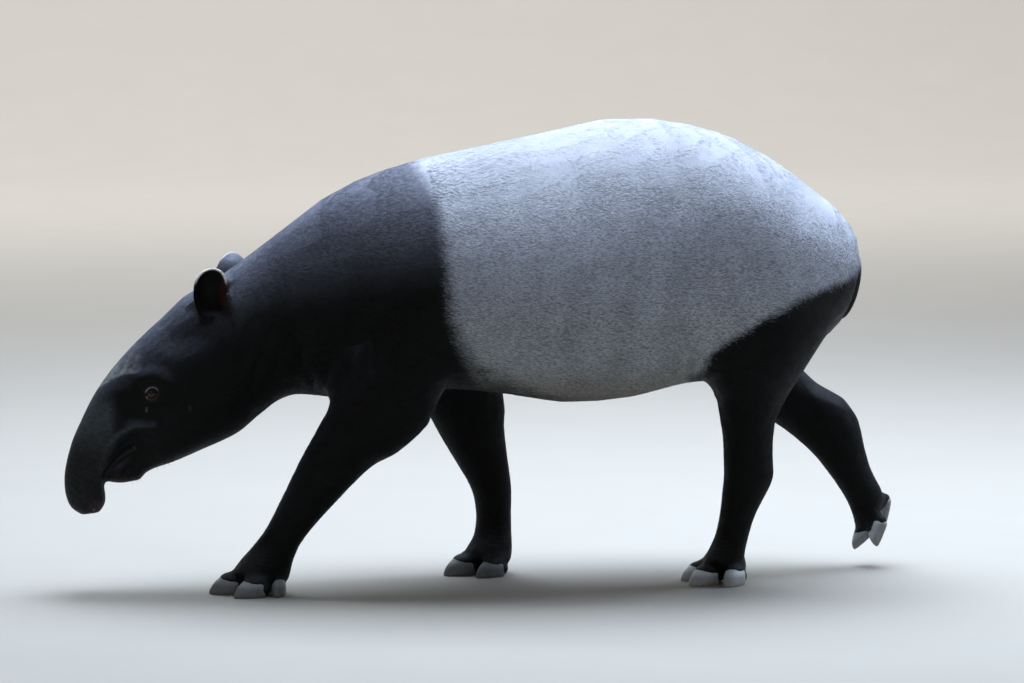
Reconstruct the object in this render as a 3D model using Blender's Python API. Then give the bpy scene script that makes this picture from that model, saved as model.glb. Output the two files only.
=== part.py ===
"""A life-size Malayan tapir, walking to -X with its head low. Metres, +Z up, the floor at Z = 0.

The flesh is lofted from named cross-sections, fused, smoothed and thinned as one body. Eyes, ears, tail
and hooves are solids of their own that sit in the flesh, and thin cuts then part the flesh into the
pieces that a person would name.
"""

import math
from typing import NamedTuple

import bmesh
import bpy
import numpy as np
from mathutils import Matrix, Vector
from mathutils.bvhtree import BVHTree

# ---------------------------------------------------------------- driving sizes
GAP = 0.0003  # between two pieces that meet
SEAT = 0.0006  # a piece's seat in the flesh stands this far off its own surface
PAD_CLEARANCE = 0.002  # the soft pads hang just above the floor, so that the hooves carry the weight
STEPS = 5  # loft rings from one named section to the next
VOXEL = 0.0058
FLESH_TRIANGLES = 7200


class Section(NamedTuple):
    """A closed cross-section, in the plane through two outline points (x, z) and the Y axis."""

    near: tuple  # on the back of the trunk, or the front of a leg
    far: tuple  # on the belly of the trunk, or the rear of a leg
    half_width: float
    mid_y: float = 0.0
    widest: float = 0.5  # share of the way from near to far where it is widest
    near_power: float = 2.0  # superellipse power: 2 is round, less is a ridge, more is boxy
    far_power: float = 2.0


# The trunk from the rump to the tip of the trunk-like nose.
TRUNK = (
    Section((0.890, 0.782), (0.868, 0.664), 0.074),
    Section((0.880, 0.823), (0.838, 0.598), 0.162, widest=0.52),
    Section((0.835, 0.878), (0.787, 0.552), 0.216, widest=0.50),
    Section((0.762, 0.934), (0.720, 0.520), 0.243, widest=0.46),
    Section((0.678, 0.996), (0.655, 0.490), 0.266, widest=0.45, near_power=2.1),
    Section((0.580, 1.046), (0.580, 0.472), 0.280, widest=0.46, near_power=2.1),
    Section((0.460, 1.077), (0.475, 0.462), 0.290, widest=0.50, near_power=2.1),
    Section((0.330, 1.087), (0.345, 0.434), 0.297, widest=0.54, near_power=2.0, far_power=2.1),
    Section((0.190, 1.065), (0.200, 0.425), 0.298, widest=0.56, near_power=1.95, far_power=2.1),
    Section((0.050, 1.033), (0.060, 0.446), 0.286, widest=0.56, near_power=1.85, far_power=2.1),
    Section((-0.090, 1.006), (-0.075, 0.458), 0.262, widest=0.55, near_power=1.75, far_power=2.1),
    Section((-0.195, 0.981), (-0.200, 0.448), 0.236, widest=0.55, near_power=1.7, far_power=2.1),
    Section((-0.285, 0.948), (-0.310, 0.440), 0.205, widest=0.55, near_power=1.7, far_power=2.1),
    Section((-0.370, 0.902), (-0.385, 0.448), 0.168, widest=0.55, near_power=1.7, far_power=2.0),
    Section((-0.460, 0.834), (-0.440, 0.448), 0.136, widest=0.54, near_power=1.7, far_power=2.0),
    Section((-0.545, 0.772), (-0.485, 0.424), 0.116, widest=0.52, near_power=1.75, far_power=2.2),
    Section((-0.615, 0.722), (-0.530, 0.384), 0.106, widest=0.50, near_power=1.8, far_power=2.3),
    Section((-0.678, 0.685), (-0.590, 0.350), 0.101, widest=0.50, near_power=1.8, far_power=2.4),
    Section((-0.735, 0.632), (-0.650, 0.326), 0.096, widest=0.48, near_power=1.85, far_power=2.4),
    Section((-0.790, 0.581), (-0.700, 0.312), 0.086, widest=0.48, near_power=1.9, far_power=2.5),
    Section((-0.842, 0.525), (-0.748, 0.318), 0.071, widest=0.50, near_power=1.9, far_power=2.6),
    Section((-0.885, 0.466), (-0.795, 0.326), 0.060, widest=0.54, near_power=2.0, far_power=2.6),
    Section((-0.917, 0.405), (-0.836, 0.306), 0.052, widest=0.54, near_power=2.1, far_power=2.5),
    Section((-0.943, 0.345), (-0.860, 0.284), 0.046, widest=0.54, near_power=2.2, far_power=2.4),
    Section((-0.958, 0.285), (-0.868, 0.262), 0.043, widest=0.50, near_power=2.3, far_power=2.3),
    Section((-0.960, 0.245), (-0.866, 0.240), 0.042, widest=0.50, near_power=2.3, far_power=2.3),
    Section((-0.954, 0.213), (-0.863, 0.220), 0.042, widest=0.50, near_power=2.3, far_power=2.3),
    Section((-0.942, 0.193), (-0.866, 0.202), 0.040, widest=0.50, near_power=2.3, far_power=2.3),
    Section((-0.920, 0.178), (-0.878, 0.183), 0.028, widest=0.50, near_power=2.2, far_power=2.2),
)
# The lower jaw from the throat to the lower lip.
JAW = (
    Section((-0.570, 0.470), (-0.553, 0.362), 0.074),
    Section((-0.645, 0.440), (-0.636, 0.328), 0.078, near_power=2.3),
    Section((-0.712, 0.410), (-0.705, 0.299), 0.068, near_power=2.4),
    Section((-0.768, 0.375), (-0.758, 0.281), 0.056, near_power=2.5),
    Section((-0.803, 0.340), (-0.795, 0.258), 0.049, widest=0.45, near_power=2.6),
    Section((-0.835, 0.304), (-0.826, 0.250), 0.042, widest=0.45, near_power=2.6),
    Section((-0.862, 0.274), (-0.857, 0.254), 0.030, widest=0.45, near_power=2.4),
)


class Toe(NamedTuple):
    """A hoof's rear, in the foot's own frame: X ahead, Y to the outer side, Z up."""

    digit: int
    rear: tuple
    splay: float  # degrees, outwards
    length: float
    width: float
    height: float
    droop: float = 0.0  # degrees, the tip turned down


class Foot(NamedTuple):
    middle: tuple  # (x, y, z) of the foot's own frame in the model
    heading: float  # degrees, 0 is straight ahead (-X), positive turns outwards
    toes: tuple
    pads: tuple  # (middle, half sizes) of each soft ball, in the foot's own frame; the first is the core


FORE_TOES = (
    Toe(2, (-0.014, -0.053, 0), -12, 0.062, 0.044, 0.040),
    Toe(3, (0.034, 0.000, 0), 0, 0.066, 0.055, 0.043),
    Toe(4, (-0.012, 0.054, 0), 14, 0.062, 0.046, 0.042),
    Toe(5, (-0.058, 0.044, 0), 78, 0.036, 0.031, 0.043),
)
HIND_TOES = (
    Toe(2, (0.002, -0.051, 0), -16, 0.056, 0.042, 0.038),
    Toe(3, (0.026, 0.000, 0), 0, 0.064, 0.054, 0.040),
    Toe(4, (-0.012, 0.051, 0), 18, 0.054, 0.042, 0.044),
)
LIFTED_TOES = (
    Toe(2, (-0.987, 0.093, 0.101), 0, 0.054, 0.036, 0.034, 70),
    Toe(3, (-0.964, 0.137, 0.079), 0, 0.060, 0.046, 0.030, 44),
    Toe(4, (-1.0155, 0.172, 0.144), 0, 0.052, 0.032, 0.026, 80),
)
LIFTED_PADS = (
    ((-0.948, 0.130, 0.124), (0.026, 0.040, 0.042)),
    ((-0.980, 0.157, 0.152), (0.028, 0.028, 0.022)),
)


class Leg(NamedTuple):
    name: str
    side: int  # -1 is the animal's left, at -Y
    sections: tuple
    foot: Foot
    root_cut: tuple  # ((x, z), (x, z)) where a thin cut parts it from the torso
    knee_cut: tuple
    ankle_cut: tuple


LEGS = (
    Leg(
        "foreleg_left",
        -1,
        (
            Section((-0.290, 0.720), (-0.090, 0.700), 0.060, -0.135),
            Section((-0.325, 0.570), (-0.080, 0.540), 0.082, -0.150),
            Section((-0.358, 0.450), (-0.118, 0.415), 0.084, -0.150),
            Section((-0.399, 0.370), (-0.195, 0.334), 0.068, -0.140),
            Section((-0.430, 0.310), (-0.260, 0.296), 0.056, -0.128),
            Section((-0.466, 0.232), (-0.356, 0.198), 0.048, -0.116),
            Section((-0.502, 0.158), (-0.413, 0.130), 0.044, -0.104),
            Section((-0.533, 0.114), (-0.434, 0.088), 0.047, -0.094),
            Section((-0.560, 0.082), (-0.442, 0.056), 0.052, -0.084),
            Section((-0.580, 0.052), (-0.448, 0.026), 0.052, -0.078),
        ),
        Foot((-0.534, -0.066, 0.0), 2, FORE_TOES, (((-0.014, 0.004, 0.044), (0.052, 0.052, 0.042)),)),
        ((-0.385, 0.420), (-0.100, 0.395)),
        ((-0.500, 0.225), (-0.340, 0.178)),
        ((-0.580, 0.122), (-0.400, 0.078)),
    ),
    Leg(
        "foreleg_right",
        1,
        (
            Section((-0.250, 0.700), (-0.010, 0.700), 0.060, 0.135),
            Section((-0.195, 0.560), (0.050, 0.540), 0.082, 0.150),
            Section((-0.128, 0.430), (0.080, 0.420), 0.082, 0.150),
            Section((-0.080, 0.335), (0.080, 0.342), 0.066, 0.146),
            Section((-0.036, 0.260), (0.089, 0.264), 0.053, 0.142),
            Section((-0.003, 0.200), (0.096, 0.205), 0.046, 0.139),
            Section((0.008, 0.140), (0.095, 0.142), 0.043, 0.137),
            Section((0.002, 0.092), (0.096, 0.090), 0.045, 0.136),
            Section((-0.014, 0.062), (0.097, 0.058), 0.050, 0.136),
            Section((-0.022, 0.040), (0.094, 0.028), 0.050, 0.137),
        ),
        Foot((0.022, 0.142, 0.0), -20, FORE_TOES, (((-0.014, 0.000, 0.043), (0.052, 0.052, 0.041)),)),
        ((-0.165, 0.405), (0.120, 0.405)),
        ((-0.030, 0.190), (0.125, 0.196)),
        ((-0.030, 0.098), (0.125, 0.096)),
    ),
    Leg(
        "hindleg_left",
        -1,
        (
            Section((0.470, 0.860), (0.790, 0.800), 0.095, -0.140),
            Section((0.465, 0.680), (0.808, 0.640), 0.122, -0.160),
            Section((0.496, 0.520), (0.752, 0.530), 0.110, -0.158),
            Section((0.533, 0.442), (0.701, 0.446), 0.080, -0.146),
            Section((0.549, 0.372), (0.676, 0.388), 0.062, -0.134),
            Section((0.555, 0.305), (0.674, 0.311), 0.052, -0.122),
            Section((0.557, 0.258), (0.679, 0.256), 0.047, -0.112),
            Section((0.555, 0.214), (0.662, 0.212), 0.043, -0.102),
            Section((0.552, 0.165), (0.640, 0.165), 0.041, -0.092),
            Section((0.546, 0.122), (0.627, 0.118), 0.042, -0.082),
            Section((0.534, 0.086), (0.619, 0.076), 0.046, -0.072),
            Section((0.518, 0.054), (0.612, 0.030), 0.048, -0.066),
        ),
        Foot((0.556, -0.056, 0.0), 34, HIND_TOES, (((-0.014, 0.000, 0.043), (0.046, 0.050, 0.041)),)),
        ((0.480, 0.437), (0.760, 0.470)),
        ((0.520, 0.236), (0.700, 0.236)),
        ((0.485, 0.100), (0.650, 0.094)),
    ),
    Leg(
        "hindleg_right",
        1,
        (
            Section((0.470, 0.860), (0.790, 0.800), 0.095, 0.140),
            Section((0.485, 0.650), (0.800, 0.640), 0.122, 0.160),
            Section((0.548, 0.490), (0.772, 0.552), 0.108, 0.158),
            Section((0.630, 0.402), (0.788, 0.488), 0.084, 0.152),
            Section((0.702, 0.362), (0.836, 0.442), 0.064, 0.144),
            Section((0.766, 0.317), (0.892, 0.410), 0.052, 0.138),
            Section((0.820, 0.268), (0.928, 0.362), 0.047, 0.134),
            Section((0.852, 0.228), (0.945, 0.292), 0.043, 0.131),
            Section((0.880, 0.190), (0.963, 0.232), 0.041, 0.130),
            Section((0.904, 0.150), (0.988, 0.184), 0.041, 0.129),
            Section((0.918, 0.112), (0.990, 0.150), 0.040, 0.128),
            Section((0.921, 0.088), (0.966, 0.112), 0.036, 0.128),
        ),
        Foot((0.0, 0.0, 0.0), 0, LIFTED_TOES, LIFTED_PADS),
        ((0.545, 0.438), (0.855, 0.522)),
        ((0.780, 0.262), (0.975, 0.360)),
        ((0.868, 0.168), (1.012, 0.222)),
    ),
)

# Thin cuts across the trunk: ((x, z) on the back, (x, z) below), half width of the cut.
TRUNK_CUTS = (
    (((-0.365, 0.930), (-0.405, 0.425)), 0.24),
    (((-0.600, 0.765), (-0.505, 0.370)), 0.16),
    (((-0.925, 0.430), (-0.820, 0.288)), 0.09),
)

# Eyes
EYE_MIDDLE = (-0.757, 0.468)  # (x, z)
EYE_RADIUS = 0.0140
EYE_OUT = 0.0715  # from the middle plane to the middle of the eyeball
LID_THICKNESS = 0.0030
EYE_OPENING = (0.0125, 0.0085)  # half sizes of the slit between the lids
EYE_TILT = 40.0  # degrees, the slit runs down towards the nose

# Ears
EAR_LENGTH = 0.111
EAR_WIDTH = 0.078
EAR_DEPTH = 0.034
EAR_WALL = 0.0042

# Tail
TAIL = (
    Section((0.845, 0.800), (0.835, 0.750), 0.022),
    Section((0.889, 0.782), (0.852, 0.738), 0.024),
    Section((0.904, 0.748), (0.856, 0.720), 0.023),
    Section((0.903, 0.706), (0.852, 0.696), 0.021),
    Section((0.896, 0.670), (0.845, 0.670), 0.018),
    Section((0.886, 0.642), (0.838, 0.648), 0.015),
    Section((0.872, 0.619), (0.834, 0.630), 0.011),
    Section((0.858, 0.608), (0.838, 0.618), 0.006),
)


# ---------------------------------------------------------------- mesh helpers
def empty_scene():
    for thing in list(bpy.data.objects):
        bpy.data.objects.remove(thing)


def add_object(name, mesh):
    thing = bpy.data.objects.new(name, mesh)
    bpy.context.scene.collection.objects.link(thing)
    return thing


def mesh_object(name, build):
    """An object whose mesh the function build(bm) makes, with its faces turned outwards."""
    bm = bmesh.new()
    build(bm)
    bmesh.ops.recalc_face_normals(bm, faces=bm.faces)
    mesh = bpy.data.meshes.new(name)
    bm.to_mesh(mesh)
    bm.free()
    return add_object(name, mesh)


def remove(things):
    for thing in list(things):
        bpy.data.objects.remove(thing)


def bake_modifiers(thing):
    """Replaces an object's mesh with what its modifiers make of it."""
    graph = bpy.context.evaluated_depsgraph_get()
    made = bpy.data.meshes.new_from_object(thing.evaluated_get(graph))
    thing.modifiers.clear()
    thing.data = made


def join(name, things):
    """One object of several closed meshes, still separate bodies."""
    bm = bmesh.new()
    for thing in things:
        bm.from_mesh(thing.data)
    mesh = bpy.data.meshes.new(name)
    bm.to_mesh(mesh)
    bm.free()
    remove(things)
    return add_object(name, mesh)


def smoothly(rows, steps):
    """A Catmull-Rom curve through rows of numbers, with so many steps from each to the next."""
    rows = np.array(rows, float)
    padded = np.vstack([2 * rows[0] - rows[1], rows, 2 * rows[-1] - rows[-2]])
    found = []
    for i in range(1, len(padded) - 2):
        a, b, c, d = padded[i - 1 : i + 3]
        for t in np.arange(steps) / steps:
            curved = (2 * a - 5 * b + 4 * c - d) * t**2 + (3 * b - a - 3 * c + d) * t**3
            found.append(0.5 * (2 * b + (c - a) * t + curved))
    found.append(rows[-1])
    return np.array(found)


def ring_of(row, count):
    """So many points of one cross-section, from the numbers of a Section."""
    near, far = Vector((row[0], 0, row[1])), Vector((row[2], 0, row[3]))
    half_width, mid_y, widest, near_power, far_power = row[4:]
    middle = near.lerp(far, widest)
    points = []
    for i in range(count):
        angle = math.tau * i / count
        c, s = math.cos(angle), math.sin(angle)
        power = near_power if c >= 0 else far_power
        reach = (near if c >= 0 else far) - middle
        point = middle + reach * abs(c) ** (2 / power)
        point.y = mid_y + half_width * math.copysign(abs(s) ** (2 / power), s)
        points.append(point)
    return points


def section_numbers(section):
    return [*section.near, *section.far, *section[2:]]


def loft(bm, rings):
    """A closed skin over rings of as many points each, with flat ends."""
    made = [[bm.verts.new(p) for p in ring] for ring in rings]
    for one, two in zip(made, made[1:]):
        for i in range(len(one)):
            j = (i + 1) % len(one)
            bm.faces.new((one[i], one[j], two[j], two[i]))
    bm.faces.new(made[0])
    bm.faces.new(made[-1])


def lofted(name, sections, steps=STEPS, points=36):
    rows = smoothly([section_numbers(s) for s in sections], steps)
    return mesh_object(name, lambda bm: loft(bm, [ring_of(row, points) for row in rows]))


def ball(name, middle, radii, turn=None, detail=3, frame=None):
    """A faceted ball, stretched to three radii, turned, and set in its place in the model or in a frame."""
    turned = Matrix.Translation(middle) @ (turn or Matrix.Identity(4)) @ Matrix.Diagonal((*radii, 1))
    place = (frame or Matrix.Identity(4)) @ turned

    def build(bm):
        bmesh.ops.create_icosphere(bm, subdivisions=detail, radius=1, matrix=place)

    return mesh_object(name, build)


def box(name, place, sizes):
    matrix = place @ Matrix.Diagonal((*sizes, 1))
    return mesh_object(name, lambda bm: bmesh.ops.create_cube(bm, size=1, matrix=matrix))


def grown(thing, by):
    """A copy of an object whose surface stands further out."""
    copy = add_object(thing.name + "_grown", thing.data.copy())
    bm = bmesh.new()
    bm.from_mesh(copy.data)
    bm.normal_update()
    for vert in bm.verts:
        vert.co += vert.normal * by * vert.calc_shell_factor()
    bm.to_mesh(copy.data)
    bm.free()
    return copy


def combine(thing, others, operation):
    """Booleans of one object with several closed ones in turn, which are then removed."""
    for other in others:
        cut = thing.modifiers.new("combine", "BOOLEAN")
        cut.operation = operation
        cut.object = other
        cut.solver = "EXACT"
        bake_modifiers(thing)
    remove(others)


def loose_parts(thing):
    """The vertex numbers of each separate body of a mesh."""
    bm = bmesh.new()
    bm.from_mesh(thing.data)
    seen, parts = set(), []
    for start in bm.verts:
        if start.index in seen:
            continue
        part, edge_of_part = [], [start]
        seen.add(start.index)
        while edge_of_part:
            vert = edge_of_part.pop()
            part.append(vert.index)
            for edge in vert.link_edges:
                other = edge.other_vert(vert)
                if other.index not in seen:
                    seen.add(other.index)
                    edge_of_part.append(other)
        parts.append(part)
    bm.free()
    return sorted(parts, key=len, reverse=True)


def keep_only(mesh, keep):
    """Deletes all vertices of a mesh but those with these numbers."""
    bm = bmesh.new()
    bm.from_mesh(mesh)
    keep = set(keep)
    bmesh.ops.delete(bm, geom=[v for v in bm.verts if v.index not in keep], context="VERTS")
    bm.to_mesh(mesh)
    bm.free()


# ---------------------------------------------------------------- feet
def foot_frame(foot, side):
    """From the foot's own frame (X ahead, Y to the outer side, Z up) to the model's."""
    turn = Matrix.Rotation(math.radians(-side * foot.heading), 4, "Z")
    return Matrix.Translation(foot.middle) @ turn @ Matrix.Diagonal((-1, side, 1, 1))


HOOF_ROWS = (  # share of the height, of the length, and of the width
    (0.00, 1.00, 0.98),
    (0.14, 0.98, 1.00),
    (0.48, 0.83, 0.97),
    (0.82, 0.62, 0.86),
    (1.00, 0.40, 0.62),
)
HOOF_POINTS = 12
TOE_TIP = 28  # degrees, how far the soft toe behind each hoof tips down


def hoof(name, toe, place):
    """A wedge of horn with a flat sole, rounded in front and nearly straight behind."""

    def build(bm):
        rings = []
        for high, long, wide in HOOF_ROWS:
            ring = []
            for i in range(HOOF_POINTS):
                angle = math.tau * i / HOOF_POINTS
                c, s = math.cos(angle), math.sin(angle)
                x = toe.length * c * (long if c > 0 else 0.24)
                y = 0.5 * toe.width * wide * math.copysign(abs(s) ** 0.9, s)
                ring.append(place @ Vector((x, y, high * toe.height)))
            rings.append(ring)
        loft(bm, rings)
        walls = [face for face in bm.faces if len(face.verts) == 4]
        bmesh.ops.triangulate(bm, faces=walls)

    return mesh_object(name, build)


def toe_place(frame, toe):
    splay = Matrix.Rotation(math.radians(toe.splay), 4, "Z")
    droop = Matrix.Rotation(math.radians(toe.droop), 4, "Y")
    return frame @ Matrix.Translation(toe.rear) @ splay @ droop


def foot_pieces(leg):
    """(flesh pieces, hooves) of one foot."""
    frame = foot_frame(leg.foot, leg.side)
    flesh = [ball("pad", middle, radii, frame=frame) for middle, radii in leg.foot.pads]
    tip = Matrix.Rotation(math.radians(TOE_TIP), 4, "Y")
    hooves = []
    for toe in leg.foot.toes:
        place = toe_place(frame, toe)
        middle = (-0.06 * toe.length, 0, 0.80 * toe.height)
        radii = (0.72 * toe.length, 0.46 * toe.width, 0.58 * toe.height)
        flesh.append(ball("toe", middle, radii, tip, frame=place))
        hooves.append(hoof(f"hoof_{leg.name}_{toe.digit}", toe, place))
    return flesh, hooves


# ---------------------------------------------------------------- ears and eyes
EAR_ROWS = (  # share of the length, half width, depth of the cup (shares of the ear's), and bend backwards
    (-0.16, 0.34, 0.34, 0.00),
    (-0.02, 0.60, 0.56, 0.00),
    (0.14, 0.82, 0.80, 0.01),
    (0.34, 0.97, 0.99, 0.02),
    (0.56, 1.00, 1.00, 0.03),
    (0.76, 0.90, 0.84, 0.02),
    (0.92, 0.62, 0.52, -0.01),
    (0.99, 0.30, 0.24, -0.03),
)
EAR_POINTS = 10
CUP_FROM, CUP_TO = -0.06, 0.18  # shares of the length over which the cup hollows out


def smooth_step(value, start, end):
    t = min(max((value - start) / (end - start), 0.0), 1.0)
    return t * t * (3 - 2 * t)


def ear(name, place, cupped=True):
    """A cup with a thin wall, open on its -Y side, and a solid root below it. +Z is its length."""

    def build(bm):
        rings = []
        for along, wide, deep, bend in smoothly(EAR_ROWS, 2):
            half, depth = 0.5 * EAR_WIDTH * wide, EAR_DEPTH * deep
            z, y0 = EAR_LENGTH * along, EAR_LENGTH * bend
            open_share = smooth_step(along, CUP_FROM, CUP_TO) if cupped else 0.0
            hollow = (1.4 * depth - EAR_WALL) * open_share - 0.4 * depth
            ring = []
            for i in range(EAR_POINTS + 1):
                angle = math.pi * i / EAR_POINTS
                ring.append(Vector((half * math.cos(angle), y0 + depth * math.sin(angle), z)))
            for i in range(EAR_POINTS - 1, 0, -1):
                angle = math.pi * i / EAR_POINTS
                x = (half - EAR_WALL * open_share) * math.cos(angle)
                ring.append(Vector((x, y0 + hollow * math.sin(angle), z)))
            rings.append([place @ p for p in ring])
        loft(bm, rings)

    return mesh_object(name, build)


def side_place(side, at, lean, swing, twist):
    """An ear's own frame on the head. Lean tips it outwards, swing tips it back, twist turns its cup."""
    x, y, z = at
    mirror = Matrix.Identity(4) if side < 0 else Matrix.Diagonal((1, -1, 1, 1))
    return (
        mirror
        @ Matrix.Translation((x, -abs(y), z))
        @ Matrix.Rotation(math.radians(swing), 4, "Y")
        @ Matrix.Rotation(math.radians(lean), 4, "X")
        @ Matrix.Rotation(math.radians(twist), 4, "Z")
    )


EARS = (  # name, side, root (x, y, z), lean, swing, twist
    ("ear_left", -1, (-0.626, 0.078, 0.646), 14, 4, 10),
    ("ear_right", 1, (-0.597, 0.078, 0.674), 22, 28, -20),
)


def eye_frame(side):
    """X runs along the slit towards the nose, Y points out of the head, Z across the slit."""
    x, z = EYE_MIDDLE
    mirror = Matrix.Identity(4) if side < 0 else Matrix.Diagonal((1, -1, 1, 1))
    return (
        mirror
        @ Matrix.Translation((x, -EYE_OUT, z))
        @ Matrix.Rotation(math.radians(-12), 4, "Z")
        @ Matrix.Rotation(math.radians(180 - EYE_TILT), 4, "Y")
    )


def almond(name, side):
    """A prism that cuts the opening between the lids."""

    def build(bm):
        frame = eye_frame(side)
        half_long, half_high = EYE_OPENING
        count = 16
        rings = []
        for out, scale in ((0.0, 0.9), (-0.04, 1.3)):
            ring = []
            for i in range(count):
                angle = math.tau * i / count
                x = half_long * scale * math.cos(angle)
                z = half_high * scale * math.copysign(abs(math.sin(angle)) ** 1.3, math.sin(angle))
                ring.append(frame @ Vector((x, out, z)))
            rings.append(ring)
        loft(bm, rings)

    return mesh_object(name, build)


# ---------------------------------------------------------------- head details
NOSTRILS = ((-0.900, 0.019, 0.182), (0.015, 0.009, 0.010), 10)  # middle (x, y, z), half sizes, tilt
MOUTH_LINE = (  # (x, z), from the open air under the lips to the corner of the mouth
    (-0.856, 0.236),
    (-0.866, 0.258),
    (-0.864, 0.281),
    (-0.852, 0.300),
    (-0.836, 0.317),
    (-0.818, 0.331),
    (-0.799, 0.338),
)
MOUTH_DEPTH = 0.060
MOUTH_GAP = 0.0034


def mouth_cutter():
    """A thin blade along the line between the lips, right across the muzzle."""

    def build(bm):
        line = smoothly(MOUTH_LINE, 2)
        rings = []
        for i, (x, z) in enumerate(line):
            before, after = line[max(i - 1, 0)], line[min(i + 1, len(line) - 1)]
            run = Vector((after[0] - before[0], 0, after[1] - before[1])).normalized()
            taper = 1 - 0.7 * smooth_step(i, 0.5 * len(line), len(line) - 1)
            across = Vector((-run.z, 0, run.x)) * taper * MOUTH_GAP / 2
            middle = Vector((x, 0, z))
            rings.append(
                [
                    middle + across + Vector((0, -MOUTH_DEPTH, 0)),
                    middle + across + Vector((0, MOUTH_DEPTH, 0)),
                    middle - across + Vector((0, MOUTH_DEPTH, 0)),
                    middle - across + Vector((0, -MOUTH_DEPTH, 0)),
                ]
            )
        loft(bm, rings)

    return mesh_object("mouth_cutter", build)


def nostril_cutters():
    (x, y, z), radii, tilt = NOSTRILS
    turn = Matrix.Rotation(math.radians(tilt), 4, "Y")
    return [ball("nostril", (x, side * y, z), radii, turn, detail=2) for side in (-1, 1)]


# ---------------------------------------------------------------- flesh
UPPER_LIP_FOLD = (
    (-0.872, 0.044, 0.296),
    (-0.858, 0.048, 0.330),
    (-0.836, 0.056, 0.360),
    (-0.800, 0.066, 0.384),
    (-0.755, 0.078, 0.388),
)
BROW = ((-0.782, 0.070, 0.502), (-0.752, 0.076, 0.508), (-0.722, 0.082, 0.492))
UPPER_LIP_CREASE = ((-0.846, 0.044, 0.318), (-0.822, 0.054, 0.346), (-0.790, 0.064, 0.362))


class Form(NamedTuple):
    """A soft swelling or hollow that follows a line of points (x, |y|, z) on both sides of the head."""

    line: tuple
    reach: float  # how far from the line it fades out
    height: float  # below zero for a hollow


FORMS = (
    Form(((-0.768, 0.079, 0.471), (-0.756, 0.080, 0.466)), 0.036, -0.0050),  # the socket of the eye
    Form(BROW, 0.030, 0.0050),
    Form(((-0.846, 0.050, 0.430), (-0.806, 0.062, 0.428)), 0.046, -0.0060),  # the hollow before the cheek
    Form(UPPER_LIP_FOLD, 0.028, 0.0080),
    Form(UPPER_LIP_CREASE, 0.018, -0.0045),
    Form(((-0.690, 0.094, 0.430), (-0.640, 0.100, 0.440)), 0.080, 0.0060),  # the chewing muscle
    Form(((-0.800, 0.046, 0.300), (-0.760, 0.056, 0.312)), 0.034, -0.0035),  # behind the lower lip
    Form(((-0.700, 0.070, 0.585), (-0.650, 0.078, 0.600)), 0.050, -0.0045),  # the temple
)


def from_line(point, line):
    """How far a point is from a line of points."""
    nearest = math.inf
    for start, end in zip(line, line[1:]):
        start, run = Vector(start), Vector(end) - Vector(start)
        share = min(max((point - start).dot(run) / run.length_squared, 0.0), 1.0)
        nearest = min(nearest, (point - start - run * share).length)
    return nearest


def sculpt(thing):
    """Raises and sinks the forms of the face."""
    bm = bmesh.new()
    bm.from_mesh(thing.data)
    bm.normal_update()
    moves = []
    for vert in bm.verts:
        if vert.co.x > -0.55:
            continue
        spot = Vector((vert.co.x, abs(vert.co.y), vert.co.z))
        rise = 0.0
        for form in FORMS:
            rise += form.height * (1 - smooth_step(from_line(spot, form.line), 0, form.reach))
        moves.append((vert, vert.normal * rise))
    for vert, move in moves:
        vert.co += move
    bm.to_mesh(thing.data)
    bm.free()


def weigh(thing, name, weight_at):
    """A vertex group whose weights come from each vertex's place."""
    group = thing.vertex_groups.new(name=name)
    for vert in thing.data.vertices:
        group.add([vert.index], weight_at(vert.co), "REPLACE")
    return group


def body_share(co):
    """1 on the torso, falling to a little on the face and the feet."""
    return 0.10 + 0.90 * smooth_step(co.x, -0.62, -0.46) * smooth_step(co.z, 0.10, 0.35)


def detail_share(co):
    """How much a part of the flesh gives up when its triangles are thinned."""
    head = smooth_step(-co.x, 0.50, 0.62)
    face = smooth_step(-co.x, 0.66, 0.74) * smooth_step(-co.z, -0.56, -0.50)
    leg = smooth_step(-co.z, -0.42, -0.32)
    return 1.0 - max(0.30 * head + 0.35 * face, 0.35 * leg)


def fused_flesh(pieces):
    """All the lofts as one smooth closed body, with few triangles where it is plain."""
    flesh = join("flesh", pieces)
    fuse = flesh.modifiers.new("fuse", "REMESH")
    fuse.mode = "VOXEL"
    fuse.voxel_size = VOXEL
    bake_modifiers(flesh)
    weigh(flesh, "body", body_share)
    soft = flesh.modifiers.new("blend", "SMOOTH")
    soft.factor = 0.5
    soft.iterations = 24
    soft.vertex_group = "body"
    bake_modifiers(flesh)
    sculpt(flesh)
    fine = flesh.modifiers.new("even", "SMOOTH")
    fine.factor = 0.5
    fine.iterations = 7
    bake_modifiers(flesh)
    flesh.vertex_groups.clear()
    weigh(flesh, "thin", detail_share)
    thin = flesh.modifiers.new("thin", "DECIMATE")
    thin.ratio = FLESH_TRIANGLES / (2 * len(flesh.data.polygons))
    thin.vertex_group = "thin"
    thin.vertex_group_factor = 1.0
    thin.use_collapse_triangulate = True
    bake_modifiers(flesh)
    flesh.vertex_groups.clear()
    return flesh


def slab(name, line, half_width, mid_y=0.0):
    """A cut no thicker than the gap, through two points (x, z) of the median plane."""
    (x0, z0), (x1, z1) = line
    along = Vector((x1 - x0, 0, z1 - z0))
    length = along.length
    turn = along.to_track_quat("X", "Y").to_matrix().to_4x4()
    place = Matrix.Translation(((x0 + x1) / 2, mid_y, (z0 + z1) / 2)) @ turn
    side = 1 if abs((turn @ Vector((0, 1, 0))).y) > 0.5 else 0
    sizes = (length, 2 * half_width, GAP) if side else (length, GAP, 2 * half_width)
    return box(name, place, sizes)


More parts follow.
